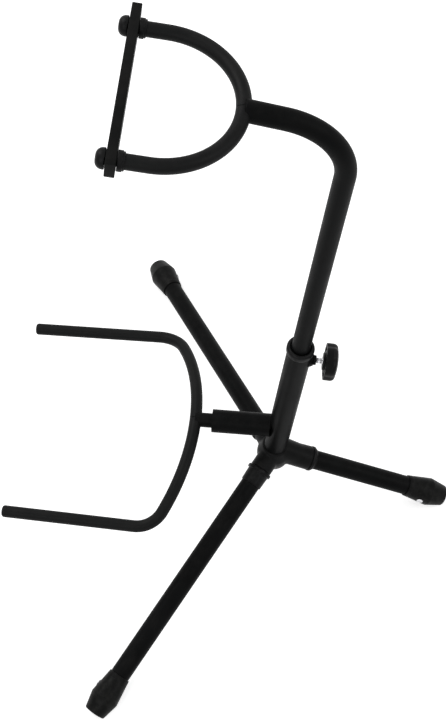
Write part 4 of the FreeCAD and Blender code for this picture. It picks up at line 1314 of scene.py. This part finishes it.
@dataclass
class Fork:
    """The lower fork, its socket on the column and its covers. Sizes in millimetres."""

    shop: Workshop
    socket: float = 12.7
    socket_start: float = 11.5
    reach: float = 93.0
    bow: float = 171.5
    bow_angle: float = 36.8
    bow_drop: float = 47.4
    corner: float = 32.0
    arm: float = 142.8
    arm_drop: float = 4.5
    toe_in: float = 1.4
    seam: float = 0.2
    cover: float = 6.5

    def build(self) -> None:
        """Dress the socket and the rods, lay the socket's welds and sweep the covers."""
        for node in ("fork_socket", "fork_stub", "fork_rod"):
            self.shop.dress_node(node, Look.COAT)
        self.shop.dress_node("fork_bush", Look.PLASTIC)
        self._socket_weld()
        for side in Side:
            self._cover(side)

    def _socket_weld(self) -> None:
        """Lay the two short welds that hold the socket's square end to the column, above and below."""
        stand = self.shop.stand
        frame = stand.socket()
        local = stand.matrix.inverted() @ frame
        welds = []
        for middle_turn in (90.0, 270.0):
            path, girths = [], []
            for step in range(25):
                angle = math.radians(middle_turn + 50.0 * (step / 12 - 1))
                rim = Vector((math.cos(angle), math.sin(angle), 0.0)) * self.socket
                low, high = 0.0, 40.0
                for _ in range(40):
                    middle = (low + high) / 2
                    point = local @ ((rim + UP * middle) * MM) / MM
                    if math.hypot(point.x, point.y) < COLUMN_RADIUS:
                        low = middle
                    else:
                        high = middle
                path.append(rim + UP * max(high + 0.2, self.socket_start - 0.4))
                girths.append(0.35 + 1.0 * math.sin(math.pi * step / 24) ** 0.5)
            welds.append(self.shop.bar(frame, path, girths, facets=12, ripple=0.14, pitch=1.7))
        self.shop.finish_piece("socket_weld_bead", self.shop.joined(welds), Look.COAT, Body.STAND)

    def _cover(self, side: Side) -> None:
        """Sweep one half of the fork's cover, with its closed tip."""
        drop, arm_drop, toe = (math.radians(self.bow_drop), math.radians(self.arm_drop),
                               math.radians(self.toe_in))
        down = Vector((0.0, -math.cos(drop), -math.sin(drop)))
        arm_way = Vector((-side.value * math.sin(toe), -math.cos(toe) * math.cos(arm_drop),
                          -math.sin(arm_drop)))
        arm_way.normalize()
        stand = self.shop.stand
        centre = (stand.matrix.inverted() @ stand.socket() @ (UP * self.reach * MM)) / MM
        skipped = math.degrees(self.seam / self.bow)
        start, heading = arc(centre, SIDE * side.value, down, self.bow, skipped, 1)
        bow, heading = arc(start[0], heading, down, self.bow, self.bow_angle - skipped, 36)
        turn = math.degrees(heading.angle(arm_way))
        bend, _ = arc(bow[-1], heading, arm_way, self.corner, turn, 24)
        path = [start[0]] + bow + bend + line_on(bend[-1], arm_way, self.arm, 24)
        path, end_girths = blunt_end(path, self.cover, 3.0)
        flipped, start_girths = blunt_end(list(reversed(path)), self.cover, 0.25, steps=3)
        path = list(reversed(flipped))
        girths = list(reversed(start_girths))
        girths[-8:] = end_girths[-8:]
        name = f"fork_cover_{side.word}"
        mesh = self.shop.bar(stand.matrix, path, girths, facets=48)
        self.shop.finish_piece(f"{name}_sleeve", mesh, Look.COVER, Body.FORK, [name])


# ---------------------------------------------------------------- studio


@dataclass
class Studio:
    """The floor, the lights, the world and the camera. Sizes in metres."""

    place: tuple[float, float, float] = (0.75279, 0.10532, 1.58854)
    azimuth: float = 98.667
    elevation: float = 59.656
    roll: float = -3.524
    lens: float = 74.484

    def build(self) -> None:
        """Set up the floor, the light and the camera."""
        scene = bpy.context.scene
        scene.view_settings.view_transform = "Standard"
        self._floor()
        self._world()
        self._lights()
        self._camera()

    @staticmethod
    def _white_for_eye(tree: bpy.types.NodeTree) -> bpy.types.NodeSocket:
        """Give 1 for camera, glossy and transmission rays and 0 for the rest."""
        path = tree.nodes.new("ShaderNodeLightPath")
        first = math_node(tree, "MAXIMUM", path.outputs["Is Camera Ray"], path.outputs["Is Glossy Ray"])
        return math_node(tree, "MAXIMUM", first, path.outputs["Is Transmission Ray"])

    def _floor(self) -> None:
        """Lay a pale floor that keeps the stand's shadow."""
        mesh = bpy.data.meshes.new("floor")
        reach = 4.0
        mesh.from_pydata([(-reach, -reach, 0.0), (reach, -reach, 0.0), (reach, reach, 0.0),
                          (-reach, reach, 0.0)], [],
                         [(0, 1, 2, 3)])
        floor = put("floor", mesh)
        material = bpy.data.materials.new("pale_floor")
        material.use_nodes = True
        tree = material.node_tree
        shader = tree.nodes["Principled BSDF"]
        noise = add_node(tree, "ShaderNodeTexNoise", Scale=6.0, Detail=3.0)
        tone = add_node(tree, "ShaderNodeMapRange", Value=noise.outputs["Fac"], To_Min=0.86, To_Max=0.88)
        colour = add_node(tree, "ShaderNodeCombineColor", Red=tone.outputs["Result"],
                          Green=tone.outputs["Result"],
                          Blue=tone.outputs["Result"])
        link(tree, colour.outputs["Color"], shader.inputs["Base Color"])
        shader.inputs["Roughness"].default_value = 0.9
        shader.inputs["Specular IOR Level"].default_value = 0.1
        shader.inputs["Emission Color"].default_value = (1.0, 1.0, 1.0, 1.0)
        glow = math_node(tree, "MULTIPLY", self._white_for_eye(tree), 0.62)
        link(tree, glow, shader.inputs["Emission Strength"])
        mesh.materials.append(material)

    def _world(self) -> None:
        """Make the world white to the eye and soft on the stand."""
        world = bpy.data.worlds.new("white_room")
        world.use_nodes = True
        tree = world.node_tree
        tree.nodes.clear()
        strength = math_node(tree, "MULTIPLY_ADD", self._white_for_eye(tree), 0.65, 0.35)
        glow = add_node(tree, "ShaderNodeBackground", Color=(1.0, 1.0, 1.0, 1.0), Strength=strength)
        output = tree.nodes.new("ShaderNodeOutputWorld")
        link(tree, glow.outputs["Background"], output.inputs["Surface"])
        bpy.context.scene.world = world

    @staticmethod
    def _lights() -> None:
        """Hang three soft lamps round the stand."""
        for name, place, size, power in (
            ("key_lamp", (-0.9, -1.3, 2.3), 1.5, 26.0),
            ("fill_lamp", (1.8, -0.7, 1.8), 1.6, 14.0),
            ("back_lamp", (0.4, 2.0, 1.9), 1.4, 14.0),
        ):
            lamp = bpy.data.lights.new(name, "AREA")
            lamp.energy = power
            lamp.size = size
            lamp.shape = "DISK"
            item = bpy.data.objects.new(name, lamp)
            item.location = place
            aim = Vector((0.0, 0.0, 0.3)) - Vector(place)
            item.rotation_euler = aim.to_track_quat("-Z", "Y").to_euler()
            bpy.context.scene.collection.objects.link(item)

    def _camera(self) -> None:
        """Place the camera."""
        azimuth, elevation = math.radians(self.azimuth), math.radians(self.elevation)
        back = Vector((math.sin(azimuth) * math.cos(elevation), -math.cos(azimuth) * math.cos(elevation),
                       math.sin(elevation)))
        right = (-back).cross(UP).normalized()
        above = right.cross(-back)
        turn = math.radians(self.roll)
        across = right * math.cos(turn) + above * math.sin(turn)
        upright = above * math.cos(turn) - right * math.sin(turn)
        matrix = Matrix((across, upright, back)).transposed().to_4x4()
        matrix.translation = Vector(self.place)
        data = bpy.data.cameras.new("camera")
        data.lens = self.lens
        data.sensor_width = 36.0
        camera = bpy.data.objects.new("camera", data)
        camera.matrix_world = matrix
        bpy.context.scene.collection.objects.link(camera)
        bpy.context.scene.camera = camera


def main() -> None:
    """Build and dress the whole stand, then the studio."""
    logging.basicConfig(level=logging.INFO, format="%(name)s: %(message)s")
    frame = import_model()
    Studio().build()
    shop = Workshop(frame)
    HubAndColumn(shop).build()
    legs = [
        Leg(shop, "right", 29.0, 15.0, 301.0),
        Leg(shop, "left", 29.0, 15.0, 301.0),
        Leg(shop, "rear", 43.0, 1.6, 166.0, ring_near=0.3, ring_far=2.2),
    ]
    for leg in legs:
        leg.build()
    Rivets(shop, legs).build()
    Clamp(shop).build()
    neck = Gooseneck(shop)
    neck.build()
    Strap(shop, neck).build()
    Fork(shop).build()


if __name__ == "__main__":
    main()
